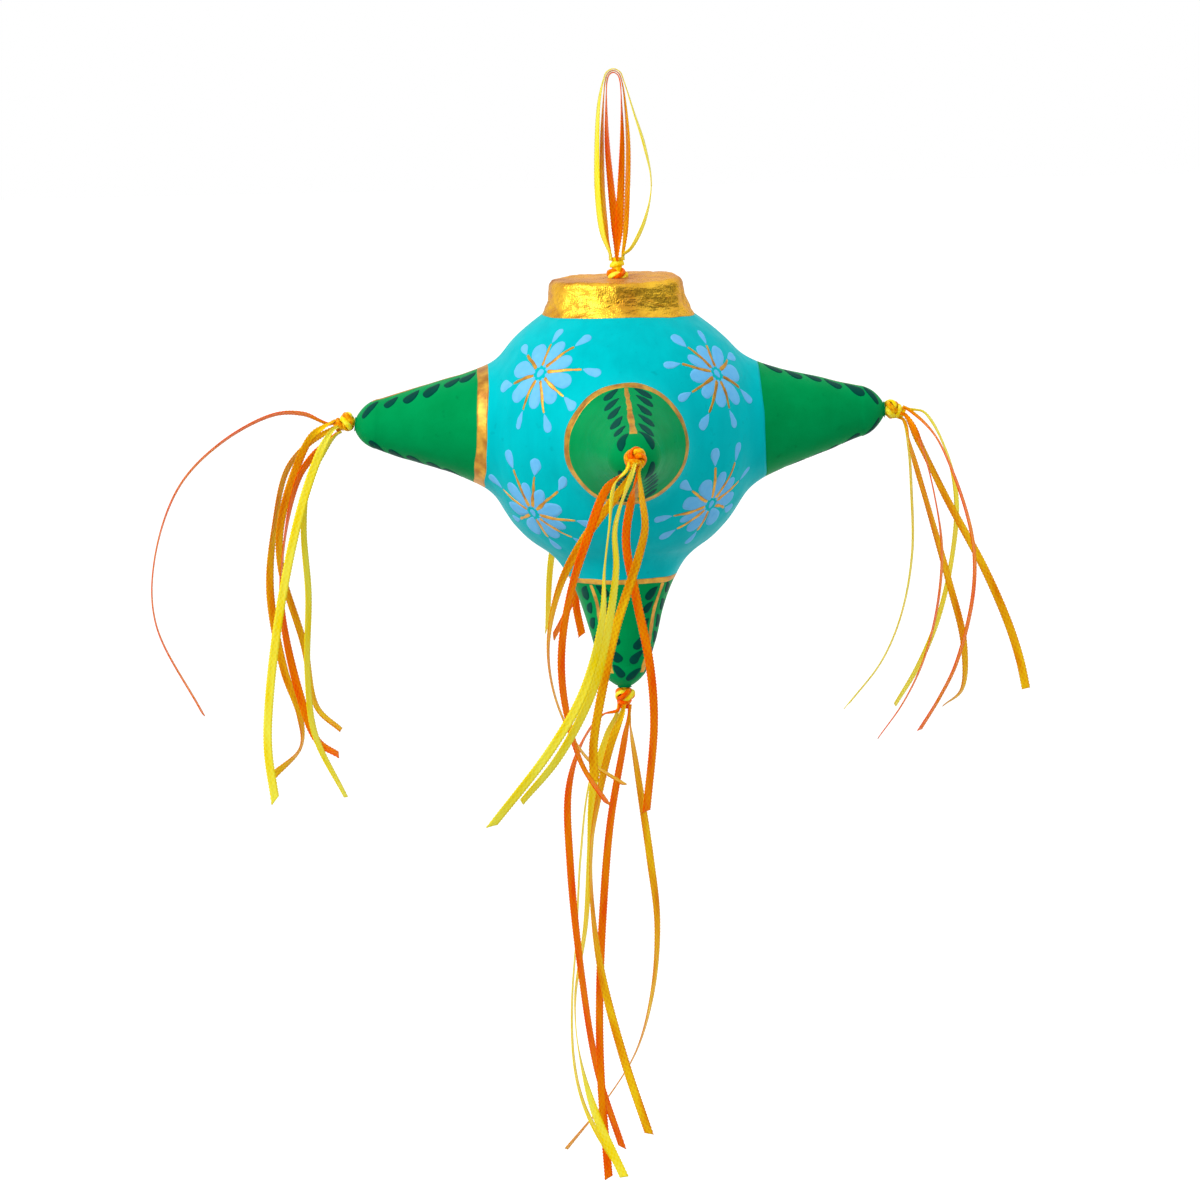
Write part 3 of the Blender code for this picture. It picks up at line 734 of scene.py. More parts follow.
STROKE_ACROSS = (-1.0, -0.96, -0.5, 0.0, 0.5, 0.96, 1.0)
LEAST_HALF_WIDTH = 0.03
EGG_ROUNDNESS = 3
EGG_STEPS = 13
STEM_STEP = 1.1
LEAST_STEM_STEPS = 4
STEM_END_THINNING = 0.7
LEAST_REACH = 0.0001
GLOBE_RAY_START = 0.09

# The hand's errors. Along a stroke: the pace in the noise and the size, in millimetres off its line
# or as a share of its width. For a whole stroke: the place in the noise and the size, in degrees or
# millimetres.

EGG_PATH_ERROR = (2.0, 0.25)
EGG_WIDTH_ERROR = (3.0, 0.22)
STEM_PATH_ERROR = (3.0, 0.3)
STEM_WIDTH_ERROR = (6.0, 0.5)
DOT_TURN_ERROR = (0.3, 70.0)
PETAL_LENGTH_ERROR = (0.7, 2.2)
STEM_BEND_ERROR = (5.1, 1.0)
DROP_TURN_ERROR = (8.3, 10.0)
DROP_WIDTH_ERROR = (3.3, 0.8)
ERROR_ROW_GAP = 7.3
FIRST_ERROR_ROW = 0.4
ERROR_LEVEL = 2.7

FLOWER_BLUE = (114, 190, 240)
THIN_BLUE = (100, 182, 238)
BLUE_DIRT = (84, 174, 222)

# Each flower's degrees round from the front and up, then the turn in degrees and the reach in
# millimetres of its eight stems, clockwise from the top

FLOWERS = (
    (-41.5, 28.4, ((-1, 15), (40, 18), (78, 19), (122, 17), (159, 18), (197, 17), (250, 15), (307, 15))),
    (47, 26.2, ((328, 17), (372, 15), (422, 14), (480, 15), (537, 16), (575, 19), (612, 18), (654, 18))),
    (-49, -30.8, ((-10, 20), (24, 19), (60, 20), (104, 20), (139, 19), (183, 15), (246, 15), (302, 18))),
    (43.5, -28.8, ((298, 16), (348, 18), (384, 20), (421, 18), (468, 13), (540, 15), (586, 18), (614, 19))),
    (-136, 28, ((10, 17), (52, 19), (95, 17), (140, 15), (183, 16), (228, 18), (274, 19), (318, 16))),
    (134, 29, ((-6, 16), (38, 15), (82, 18), (125, 19), (170, 17), (214, 16), (262, 18), (308, 18))),
    (-133, -28, ((4, 18), (47, 20), (90, 18), (133, 16), (178, 15), (221, 17), (268, 19), (313, 18))),
    (137, -29, ((-9, 19), (36, 18), (80, 20), (127, 17), (172, 14), (219, 17), (263, 18), (311, 20))),
)


def wander(number, place, size):
    """A small hand-made error that is the same on every run. Each stroke's number has its own row."""
    row = number * ERROR_ROW_GAP + FIRST_ERROR_ROW
    return noise.noise(Vector((place, row, ERROR_LEVEL))) * size


def on_globe(azimuth, elevation):
    """A function that lays flat millimetres round one spot of the globe onto its paper."""
    level = math.cos(math.radians(elevation))
    round_way = math.radians(azimuth)
    height = math.sin(math.radians(elevation))
    outward = Vector((math.sin(round_way) * level, -math.cos(round_way) * level, height))
    right = UP.cross(outward).normalized()
    upward = outward.cross(right)

    def place(across, along, lift):
        reach = math.hypot(across, along)
        turn = reach * MILLIMETRE / GLOBE_RADIUS
        heading = (right * across + upward * along) / max(reach, LEAST_REACH)
        way = outward * math.cos(turn) + heading * math.sin(turn)
        return on_paper(GLOBE_CENTRE + way * GLOBE_RAY_START, GLOBE_CENTRE, lift)

    return place


def egg_width(share, sharpness):
    """Half width along an egg-shaped stroke, 1 at its widest. A higher sharpness points its start."""
    peak = (sharpness / (sharpness + EGG_ROUNDNESS / 2)) ** (1 / EGG_ROUNDNESS)
    widest = peak ** sharpness * math.sqrt(1.0 - peak ** EGG_ROUNDNESS)
    return share ** sharpness * math.sqrt(max(1.0 - share ** EGG_ROUNDNESS, 0.0)) / widest


def lay_stroke(bm, place, rows, lift):
    """Lay one brush stroke on the paper. Rows are (across, along, half width), and its rim sinks in."""
    loops = []
    for index, (across, along, half_width) in enumerate(rows):
        before = rows[max(index - 1, 0)]
        after = rows[min(index + 1, len(rows) - 1)]
        run = Vector((after[0] - before[0], after[1] - before[1])).normalized()
        side = Vector((run.y, -run.x))
        ending = index in (0, len(rows) - 1)
        row = []
        for share in STROKE_ACROSS:
            spot = Vector((across, along)) + side * max(half_width, LEAST_HALF_WIDTH) * share
            sunk = ending or abs(share) == 1.0
            row.append(bm.verts.new(place(spot.x, spot.y, -PAINT_LIFT if sunk else lift)))
        loops.append(row)
    for here, after in zip(loops, loops[1:]):
        for step in range(len(here) - 1):
            bm.faces.new((here[step], here[step + 1], after[step + 1], after[step]))


def stroke_spot(number, start, end, share, bend, error):
    """A spot on a stroke's line, a share of the way along it, with its bend and the hand's error."""
    pace, size = error
    run = end - start
    side = Vector((run.y, -run.x)).normalized()
    off_line = bend * math.sin(math.pi * share) + wander(number, share * pace, size)
    return start + run * share + side * off_line


def egg_rows(number, start, end, half_width, sharpness, bend=0.0):
    """Rows of an egg-shaped stroke between two flat points."""
    pace, size = EGG_WIDTH_ERROR
    rows = []
    for step in range(EGG_STEPS + 1):
        share = (1.0 - math.cos(math.pi * step / EGG_STEPS)) / 2
        spot = stroke_spot(number, start, end, share, bend, EGG_PATH_ERROR)
        width = half_width * egg_width(share, sharpness) * (1.0 + wander(number + 0.5, share * pace, size))
        rows.append((spot.x, spot.y, width))
    return rows


def stem_rows(number, start, end, half_widths, bend):
    """Rows of a stem: a stroke of nearly even width that the brush thins at both ends."""
    count = max(int((end - start).length / STEM_STEP), LEAST_STEM_STEPS)
    first_width, last_width = half_widths
    pace, size = STEM_WIDTH_ERROR
    rows = []
    for step in range(count + 1):
        share = step / count
        spot = stroke_spot(number, start, end, share, bend, STEM_PATH_ERROR)
        width = first_width + (last_width - first_width) * share
        width *= 1.0 + wander(number + 0.5, share * pace, size)
        if step in (0, count):
            width *= STEM_END_THINNING
        rows.append((spot.x, spot.y, width))
    return rows


def compass(turn, reach):
    """A flat point at a turn in degrees, clockwise from the top, and a reach in millimetres."""
    return Vector((math.sin(math.radians(turn)), math.cos(math.radians(turn)))) * reach


def flower_meshes():
    """All the flowers' petals, drops, dots and stems."""
    petals = bmesh.new()
    drops = bmesh.new()
    dots = bmesh.new()
    stems = bmesh.new()
    number = 0
    for azimuth, elevation, arms in FLOWERS:
        place = on_globe(azimuth, elevation)
        dot_turn = wander(number, *DOT_TURN_ERROR)
        dot_ends = [compass(dot_turn, reach) for reach in (-DOT_HALF_LENGTH, DOT_HALF_LENGTH)]
        lay_stroke(dots, place, egg_rows(number, *dot_ends, DOT_HALF_WIDTH, DOT_SHARPNESS), PAINT_LIFT)
        for index, (turn, reach) in enumerate(arms):
            number += 1
            gap = (arms[(index + 1) % len(arms)][0] - turn) % 360
            middle = turn + gap / 2
            room = PETAL_WIDEST * math.tan(math.radians(gap / 2)) * PETAL_FILL
            root = compass(middle, PETAL_ROOT)
            end = compass(middle, PETAL_REACH + wander(number, *PETAL_LENGTH_ERROR))
            petal = egg_rows(number, root, end, min(PETAL_HALF_WIDTH, room), PETAL_SHARPNESS)
            lay_stroke(petals, place, petal, PAINT_LIFT)
            foot = compass(turn, reach - DROP_LENGTH / 2)
            bend = wander(number, *STEM_BEND_ERROR)
            stem = stem_rows(number, compass(turn, STEM_ROOT), foot, STEM_HALF_WIDTHS, bend)
            lay_stroke(stems, place, stem, PAINT_LIFT * 2)
            tip = compass(turn + wander(number, *DROP_TURN_ERROR), reach + DROP_LENGTH / 2)
            drop_width = DROP_HALF_WIDTH + wander(number, *DROP_WIDTH_ERROR)
            lay_stroke(drops, place, egg_rows(number, foot, tip, drop_width, DROP_SHARPNESS), PAINT_LIFT)
    return petals, drops, dots, stems


blue_paint = paint_material(
    "blue_paint", FLOWER_BLUE, THIN_BLUE, BLUE_DIRT, marks=(500, 500, 500), dullness=0.36, relief=0.00005
)

petals, drops, dots, stems = flower_meshes()
add_piece("flower_petals", petals, [blue_paint], "star")
add_piece("flower_drops", drops, [blue_paint], "star")
add_piece("flower_centres", dots, [blue_paint], "star")
flower_stems = add_piece("flower_stems", stems, [gold_paint], "star")


# The leaf sprigs
# Sprigs run from each mouth to the cone's tip: a gold stem drawn in two strokes, with dark
# leaves down both sides. A leaf's point lies by the stem and its round end towards the tip.

# For each sprig: the cone and the degrees round it, then for its leaves the first one's place beyond
# the mouth, their spacing, gap from the stem, length and half width, all in millimetres, their slant
# in degrees and their number down each side

SPRIGS = (
    ("left", 90, 0.9, 6.80, 4.5, 6.9, 2.30, 38, 6),
    ("left", 265, 4.4, 6.60, 4.0, 7.2, 1.90, 34, 5),
    ("right", 80, 1.6, 6.70, 4.2, 7.3, 2.05, 34, 6),
    ("right", 284, 1.2, 6.60, 4.0, 7.2, 1.80, 34, 6),
    ("front", 91, 0.5, 7.00, 2.7, 7.0, 2.00, 42, 6),
    ("front", 277, 1.2, 6.40, 2.5, 7.4, 1.90, 38, 6),
    ("rear", 92, 1.2, 6.50, 2.8, 7.0, 1.60, 40, 6),
    ("rear", 268, 1.0, 6.40, 2.7, 6.8, 1.60, 40, 6),
    ("bottom", 312, 1.0, 5.70, 2.1, 5.6, 1.95, 36, 6),
    ("bottom", 222, 1.2, 5.70, 2.1, 5.6, 1.90, 36, 6),
    ("bottom", 130, 1.0, 5.70, 2.0, 5.6, 1.80, 36, 6),
    ("bottom", 42, 1.3, 5.70, 2.0, 5.5, 1.80, 36, 6),
)
LAST_LEAF_END = 1.8
LEAF_SHARPNESS = 0.75
LEAF_BEND = 0.35
LEAF_RING_GAP = 0.4
RIGHT_LEAF_LAG = 0.8
FULL_GAP_RADIUS = 0.0125
LEAST_CONE_RADIUS = 0.0035

# The stem's half widths at its two ends, and its two strokes: they join about half way, overlap, and
# run from under the gold ring to short of the tip. The right cone has no ring, only a bare seam.

SPRIG_STEM_START = 0.70
SPRIG_STEM_END = 1.25
FRESH_STROKE = 0.9
STEM_JOIN = 0.45
STEM_OVERLAP = 1.2
STEM_UNDER_RING = 0.2
STEM_TIP_GAP = 4.6
STEM_SLANT = 0.4
BARE_SEAM = (0.0, 0.3)

# The hand's errors, as for the flowers. The join's is a share of the cone's length, and a leaf's size
# is a share of its length and width.

FIRST_SPRIG_STROKE = 200
STEM_JOIN_ERROR = (0.2, 0.3)
STEM_LEAN_ERROR = (1.2, 0.9)
LEAF_SIZE_ERROR = (6.1, 0.25)
LEAF_SLANT_ERROR = (2.9, 11.0)
LEAF_SHIFT_ERROR = (4.4, 0.6)

LEAF_GREEN = (12, 70, 61)
THIN_LEAF = (14, 78, 66)
LEAF_DIRT = (20, 76, 70)


def on_cone(arm, turn):
    """A function that lays flat millimetres beside a line down a cone onto its paper."""
    mouth = mouth_sizes(arm)[1]

    def place(across, along, lift):
        radius = max(cone_radius(arm, mouth + along * MILLIMETRE), LEAST_CONE_RADIUS)
        return on_arm(arm, turn + math.degrees(across * MILLIMETRE / radius), along, lift)

    return place


def sprig_meshes():
    """All the sprigs' leaves and stems."""
    leaves = bmesh.new()
    stems = bmesh.new()
    number = FIRST_SPRIG_STROKE
    for arm, turn, first, spacing, gap, length, half_width, slant, leaf_count in SPRIGS:
        place = on_cone(arm, turn)
        mouth = mouth_sizes(arm)[1]
        nose = (cone_reach(arm) - mouth) / MILLIMETRE
        seam = RING_BANDS.get(arm, BARE_SEAM)[1]
        middle = nose * (STEM_JOIN + wander(number, *STEM_JOIN_ERROR))
        widest = (SPRIG_STEM_START + SPRIG_STEM_END) / 2
        strokes = (
            (seam - STEM_UNDER_RING, middle, (SPRIG_STEM_START, widest)),
            (middle - STEM_OVERLAP, nose - STEM_TIP_GAP, (widest * FRESH_STROKE, SPRIG_STEM_END)),
        )
        for start, end, half_widths in strokes:
            number += 1
            lean = wander(number, *STEM_LEAN_ERROR)
            foot = Vector((lean * STEM_SLANT, start))
            tip = Vector((-lean * STEM_SLANT, end))
            lay_stroke(stems, place, stem_rows(number, foot, tip, half_widths, lean), PAINT_LIFT)
        for leaf in range(leaf_count):
            along = first + spacing * leaf
            near = gap * min(cone_radius(arm, mouth + along * MILLIMETRE) / FULL_GAP_RADIUS, 1.0)
            for side in (-1, 1):
                number += 1
                size = 1.0 + wander(number, *LEAF_SIZE_ERROR)
                angle = math.radians(slant + wander(number, *LEAF_SLANT_ERROR))
                shift = wander(number, *LEAF_SHIFT_ERROR) + (RIGHT_LEAF_LAG if side > 0 else 0.0)
                point = Vector((side * near, max(along + shift, seam + LEAF_RING_GAP)))
                run = Vector((side * math.sin(angle), math.cos(angle))) * length * size
                if point.y + run.y > nose - LAST_LEAF_END:
                    run *= (nose - LAST_LEAF_END - point.y) / run.y
                end = point + run
                rows = egg_rows(number, point, end, half_width * size, LEAF_SHARPNESS, side * LEAF_BEND)
                lay_stroke(leaves, place, rows, PAINT_LIFT)
    return leaves, stems


leaf_paint = paint_material(
    "leaf_paint", LEAF_GREEN, THIN_LEAF, LEAF_DIRT, marks=(600, 600, 600), dullness=0.34, relief=0.00005
)

leaves, stems = sprig_meshes()
add_piece("sprig_leaves", leaves, [leaf_paint], "star")
sprig_stems = add_piece("sprig_stems", stems, [gold_paint], "star")


# The tassels
# Six satin ribbons leave each cone's tip through a knot: two yellow, two gold and two orange. Each is
# limp woven ribbon, an eighth of an inch wide, gathered in the knot and cut with scissors at its end.

RIBBON_WIDTH = 0.0032
RIBBON_THICKNESS = 0.00024
CAD_RIBBON_THICKNESS = 0.0003
GATHERED_WIDTH = 0.0018
PLEATED_WIDTH = 0.0013
OPENING_LENGTH = 0.0125
EXIT_LENGTH = 0.0020
FIT_GAP = 0.0003
TASSEL_KNOT_RADIUS = 0.0031
RIBBONS_IN_A_KNOT = 6

# Picots are the small loops of thread along both edges. The ribbon is a little cupped across.

PICOT_PITCH = 0.0011
PICOT_DEPTH = 0.00024
CUP_DEPTH = 0.00013
PLEAT_CUP = 0.3
CUP_MIDDLE = 0.33
CUT_REACH = 0.0030
CUT_SLANTS = (-1.0, 0.3, 0.9, -0.4, 0.6, 0.0)
ACROSS_STEPS = 4
ROUTE_STEPS = 24
STATIONS_A_PICOT = 2
PATH_POINTS = 28

# The weave, in millimetres. Its map runs across the ribbon and then along it, and the ribbon's back
# starts at BACK_START across.

WEAVE_WIDTH = RIBBON_WIDTH / MILLIMETRE
BACK_START = 10.0
DOT_PITCH = 1.6
DOT_ROW_PITCH = 2.2
RIB_PITCH = 0.37
BOUND_EDGE = (1.15, 1.5)

# Each ribbon's thread colour, the colour between its threads, which is also its painted shade,
# and the colour of its gloss

SATIN = {
    "yellow": ((255, 246, 88), (255, 215, 0), (255, 232, 70)),
    "gold": ((255, 208, 30), (224, 130, 0), (255, 180, 20)),
    "orange": ((255, 156, 0), (250, 86, 0), (255, 130, 0)),
}
SATIN_DULLNESS = 0.36
SATIN_RELIEF = 0.00006

TOWARDS_FRONT = Vector((0, -1, 0))

# The way that each tassel leaves its knot

TASSEL_EXITS = {
    "left": Vector((-0.88, 0, -0.47)),
    "right": Vector((0.88, 0, -0.47)),
    "front": Vector((-0.30, -0.50, -0.81)),
    "rear": Vector((-0.30, 0.50, -0.81)),
    "bottom": Vector((-0.15, 0, -0.99)),
}

# Each tail's place round its knot, in degrees from the front, and the points that it hangs through.
# A point is millimetres to the right of, behind and above the knot, and then the ribbon's turn about
# its run in degrees: 0 shows its face to the front, 90 its edge.

TASSEL_TAILS = {
    "left": {
        "yellow_1": (0, [
            (-8, -6, -8, 8), (-15, -9, -26, 4), (-23, -9, -59, 5), (-28, -9, -92, 6), (-29, -9, -110, 6),
            (-27, -9, -128, 10)]),
        "yellow_2": (300, [
            (-8, -3.5, -10, 42), (-13, -5, -19, 52), (-15, -5.5, -35, 50), (-14, -5.5, -58, 45),
            (-15, -5.5, -84, 50), (-13, -5.5, -106, 50), (-3, -5.5, -128, 70)]),
        "orange_1": (120, [
            (-14, 1, 3, 58), (-24, 1, 3, 64), (-42, 1, -6, 71), (-57, 1, -21, 77), (-66, 1, -46, 84),
            (-66, 1, -68, 86), (-51, 1, -99, 84)]),
        "orange_2": (240, [
            (-9, 0, -9, 42), (-16, -1, -18, 46), (-22, -2, -42, 78), (-23, -2, -64, 54), (-18, -2, -92, 25),
            (-12, -2, -109, 45), (-5, -2, -114, 60)]),
        "gold_1": (180, [
            (-12, 4, -7, 45), (-20, 5, -16, 52), (-25, 5, -36, 52), (-27, 5, -58, 28), (-23, 5, -85, 30),
            (-18, 5, -101, 48), (-18, 5, -112, 70), (-27, 5, -121, 30)]),
        "gold_2": (60, [
            (-11, -1, -4, 20), (-18, 1, -18, 20), (-23, 2, -36, 32), (-23, 2, -50, 42), (-16, 2, -76, 42),
            (-12, 2, -98, 58), (-4, 2, -106, 65)]),
    },
    "right": {
        "yellow_1": (120, [
            (5, 1, -12, 70), (6, 1.5, -28, 70), (6, 1.5, -50, 72), (2, 1.5, -71, 74), (-5, 1.5, -87, 74),
            (-17, 1.5, -102, 74)]),
        "yellow_2": (240, [
            (11, 4, -2, 78), (18, 6, -14, 75), (22, 7, -32, 54), (20, 7, -54, 54), (15, 7, -74, 50),
            (8, 7, -90, 50), (0, 7, -103, 60)]),
        "orange_1": (0, [
            (9, -7, -13, 70), (13, -9, -30, 80), (15, -10, -48, 70), (13, -10, -68, 70), (8, -10, -86, 72),
            (1, -10, -100, 75), (-7, -10, -111, 80)]),
        "orange_2": (300, [
            (13, -4, -8, 78), (20, -6, -23, 70), (26, -6, -45, 64), (26, -6, -63, 60), (20, -6, -87, 60),
            (14, -6, -99, 62), (7, -6, -110, 60)]),
        "gold_1": (60, [
            (6, -3, -15, 60), (11, -3, -33, 52), (18, -2.5, -59, 38), (23, -2.5, -81, 38),
            (22, -2.5, -97, 60), (16, -2.5, -102, 78)]),
        "gold_2": (180, [
            (10, 3.5, -14, 45), (18, 3.5, -31, 38), (31, 3.5, -56, 24), (39, 3.5, -75, 14), (43, 3.5, -88, 6),
            (45, 3.5, -98, 5)]),
    },
    "front": {
        "yellow_1": (60, [
            (-8, -12, -8, 66), (-10, -18, -20, 78), (-12, -21, -34, 76), (-13, -21, -50, 42),
            (-19, -21, -72, 5), (-30, -21, -91, 8), (-50, -21, -116, 30)]),
        "yellow_2": (0, [
            (-4, -10, -9, 64), (-8, -15, -21, 58), (-8, -17, -34, 48), (-12, -17, -58, 22),
            (-17, -17, -75, 16), (-28, -17, -95, 28), (-40, -17, -109, 45)]),
        "orange_1": (120, [
            (-10, -6, -9, 22), (-17, -11, -25, 20), (-23, -13, -43, 38), (-26, -13, -62, 35),
            (-25, -13, -79, 45), (-20, -13, -98, 63), (-12, -13, -111, 65)]),
        "orange_2": (240, [
            (-2, -5, -13, 35), (-4, -6, -26, 26), (-1, -6, -45, 20), (3, -6, -67, 20), (4, -6, -86, 30),
            (1, -6, -115, 30)]),
        "gold_1": (180, [
            (-6, -1.5, -11, 12), (-18, -5, -26, 10), (-26, -6, -41, 40), (-30, -6, -61, 72),
            (-27, -6, -80, 80), (-18, -6, -97, 78), (-6, -6, -106, 75)]),
        "gold_2": (300, [
            (1, -7, -10, 52), (2, -10, -21, 40), (0, -10, -30, 22), (-8, -10, -54, 5), (-13, -10, -75, 12),
            (-16, -10, -92, 15), (-16, -10, -104, 5)]),
    },
    "rear": {
        "yellow_1": (120, [(-6, 8, -11, 30), (-14, 12, -31, 32), (-20, 12, -56, 40), (-22, 12, -82, 60)]),
        "yellow_2": (180, [(1, 11, -11, 60), (2, 15, -29, 55), (0, 16, -60, 48), (1, 16, -84, 60)]),
        "orange_1": (60, [
            (-4, 6, -10, 30), (-6, 7, -26, 30), (-6, 7, -44, 35), (-8, 7, -60, 42), (-15, 7, -75, 46),
            (-20, 7, -84, 50)]),
        "orange_2": (0, [
            (-1, 3, -10, 30), (-4, 2, -27, 26), (-10, 2, -55, 34), (-12, 2, -70, 30), (-10, 2, -83, 25)]),
        "gold_1": (240, [(3, 8, -11, 40), (6, 11, -29, 30), (8, 11, -56, 27), (5, 11, -86, 20)]),
        "gold_2": (300, [(4, 4, -11, 30), (9, 5, -30, 20), (13, 5, -60, 18), (11, 5, -82, 25)]),
    },
    "bottom": {
        "yellow_1": (180, [
            (-5, 6, -14, 42), (-12, 7, -29, 74), (-16, 7, -56, 76), (-18, 7, -84, 79), (-20, 7, -108, 77),
            (-20, 3, -126, 75), (-18, -4, -138, 72), (-14, -9, -148, 64), (-5, -9, -163, 40)]),
        "yellow_2": (120, [
            (-6, 2, -14, 12), (-11, 2, -29, 22), (-13, 2, -54, 46), (-15, 3, -80, 58), (-19, 2, -104, 75),
            (-19, -2, -117, 88), (-17, -7, -130, 70), (-13, -11, -144, 25), (-4, -13, -165, 0)]),
        "orange_1": (60, [
            (-8, -2, -6, 74), (-15, -2, -15, 70), (-20, -2, -31, 40), (-20, -2, -58, 32), (-17, -2, -95, 42),
            (-12, -2, -130, 45), (-4, -2, -157, 45)]),
        "orange_2": (300, [
            (-1, -3.5, -16, 42), (-6, -5, -42, 32), (-9, -5, -71, 26), (-11, -5, -105, 30),
            (-11, -5, -133, 26), (-9, -5, -167, 20)]),
        "gold_1": (0, [
            (-5, -7, -14, 26), (-9, -9, -28, 36), (-13, -9, -50, 68), (-13, -9, -72, 62), (-10, -9, -96, 34),
            (-3, -9, -125, 11), (5, -9, -151, 20)]),
        "gold_2": (240, [
            (2, 5, -13, 76), (4, 7, -27, 48), (8, 7, -58, 30), (10, 7, -80, 46), (8, 7, -104, 60),
            (2, 7, -125, 75), (-8, 7, -141, 76), (-23, 7, -159, 60)]),
    },
}


def catmull_rom(before, start, end, after, times, when):
    """The curve through four timed points, at a time between the middle two."""
    def mix(one, two, early, late):
        return one * ((late - when) / (late - early)) + two * ((when - early) / (late - early))

    first = mix(before, start, times[0], times[1])
    second = mix(start, end, times[1], times[2])
    third = mix(end, after, times[2], times[3])
    early = mix(first, second, times[0], times[2])
    late = mix(second, third, times[1], times[3])
    return mix(early, late, times[1], times[2])


def smooth_route(route):
    """Points close together along a smooth curve through the route's points."""
    ends = [2 * route[0] - route[1], 2 * route[-1] - route[-2]]
    points = [ends[0]] + list(route) + [ends[1]]
    fine = []
    for index in range(1, len(points) - 2):
        before, start, end, after = points[index - 1:index + 3]
        times = [0.0]
        for one, two in ((before, start), (start, end), (end, after)):
            times.append(times[-1] + math.sqrt((two.xyz - one.xyz).length))
        for piece in range(ROUTE_STEPS):
            when = times[1] + (times[2] - times[1]) * piece / ROUTE_STEPS
            fine.append(catmull_rom(before, start, end, after, times, when))
    fine.append(route[-1].copy())
    return fine


def even_stations(fine, count):
    """Stations at even distances along a fine line, and the line's length."""
    distances = [0.0]
    for one, two in zip(fine, fine[1:]):
        distances.append(distances[-1] + (two.xyz - one.xyz).length)
    stations = []
    index = 0
    for number in range(count + 1):
        wanted = distances[-1] * number / count
        while index < len(fine) - 2 and distances[index + 1] < wanted:
            index += 1
        share = (wanted - distances[index]) / (distances[index + 1] - distances[index])
        stations.append(fine[index].lerp(fine[index + 1], share))
    return stations, distances[-1]


def face_axes(run):
    """Sideways and depth axes, seen from the front, for a ribbon that runs this way."""
    side = run.cross(TOWARDS_BACK).normalized()
    return side, side.cross(run).normalized()


def knot_slot(knot, knot_radius, exit_way, slot, first_turn):
    """Where one of six gathered ribbons leaves a knot, with its turn there as a fourth number."""
    front = (TOWARDS_FRONT - exit_way * TOWARDS_FRONT.dot(exit_way)).normalized()
    left = exit_way.cross(front)
    angle = math.radians(slot)
    outward = front * math.cos(angle) + left * math.sin(angle)
    half_slot = math.radians(180 / RIBBONS_IN_A_KNOT)
    inner_reach = (GATHERED_WIDTH + 2 * FIT_GAP) / (2 * math.tan(half_slot))
    lift = math.sqrt((knot_radius + FIT_GAP) ** 2 - inner_reach ** 2)
    place = knot + outward * (inner_reach + CAD_RIBBON_THICKNESS / 2) + exit_way * lift
    across = exit_way.cross(outward)
    side, depth = face_axes(exit_way)
    turn = math.degrees(math.atan2(across.dot(depth), across.dot(side)))
    turn += 180.0 * round((first_turn - turn) / 180.0)
    return Vector((*place, turn))


def chosen_points(offsets, origin):
    """A route's chosen points in metres, with the ribbon's turn as a fourth number."""
    return [Vector((*(origin + Vector(offset[:3]) * MILLIMETRE), offset[3])) for offset in offsets]


def leaving_points(knot, knot_radius, exit_way, slot, first_turn):
    """The first two points of a ribbon: where it leaves its knot, and straight out from there."""
    root = knot_slot(knot, knot_radius, exit_way, slot, first_turn)
    return [root, root + Vector((*(exit_way * EXIT_LENGTH), 0.0))]


def width_at(distance, length, both_ends):
    """A ribbon is gathered where it goes into a knot and opens to its full width beyond."""
    nearest = min(distance, length - distance) if both_ends else distance
    share = min(nearest / OPENING_LENGTH, 1.0)
    return PLEATED_WIDTH + (RIBBON_WIDTH - PLEATED_WIDTH) * share * share * (3.0 - 2.0 * share)


def weave_corners(left, right, low, high):
    """The corners of a face on the weave's map, in the order of the face's own corners."""
    return ((left, low), (right, low), (right, high), (left, high))


def weave_strip(bm, loops, distances):
    """Skin a ribbon and lay the weave's map on it: its face first, and then its dotted back."""
    weave = bm.loops.layers.uv.new("weave")
    size = len(loops[0])
    step_width = WEAVE_WIDTH / ACROSS_STEPS
    for number, (near, far) in enumerate(zip(loops, loops[1:])):
        low, high = distances[number] / MILLIMETRE, distances[number + 1] / MILLIMETRE
        for step in range(size):
            after = (step + 1) % size
            face = bm.faces.new((near[step], near[after], far[after], far[step]))
            left = step % (size // 2) * step_width + (BACK_START if step >= size // 2 else 0.0)
            for loop, corner in zip(face.loops, weave_corners(left, left + step_width, low, high)):
                loop[weave].uv = corner
    bm.faces.new(loops[0])
    bm.faces.new(loops[-1])
    bmesh.ops.recalc_face_normals(bm, faces=bm.faces)


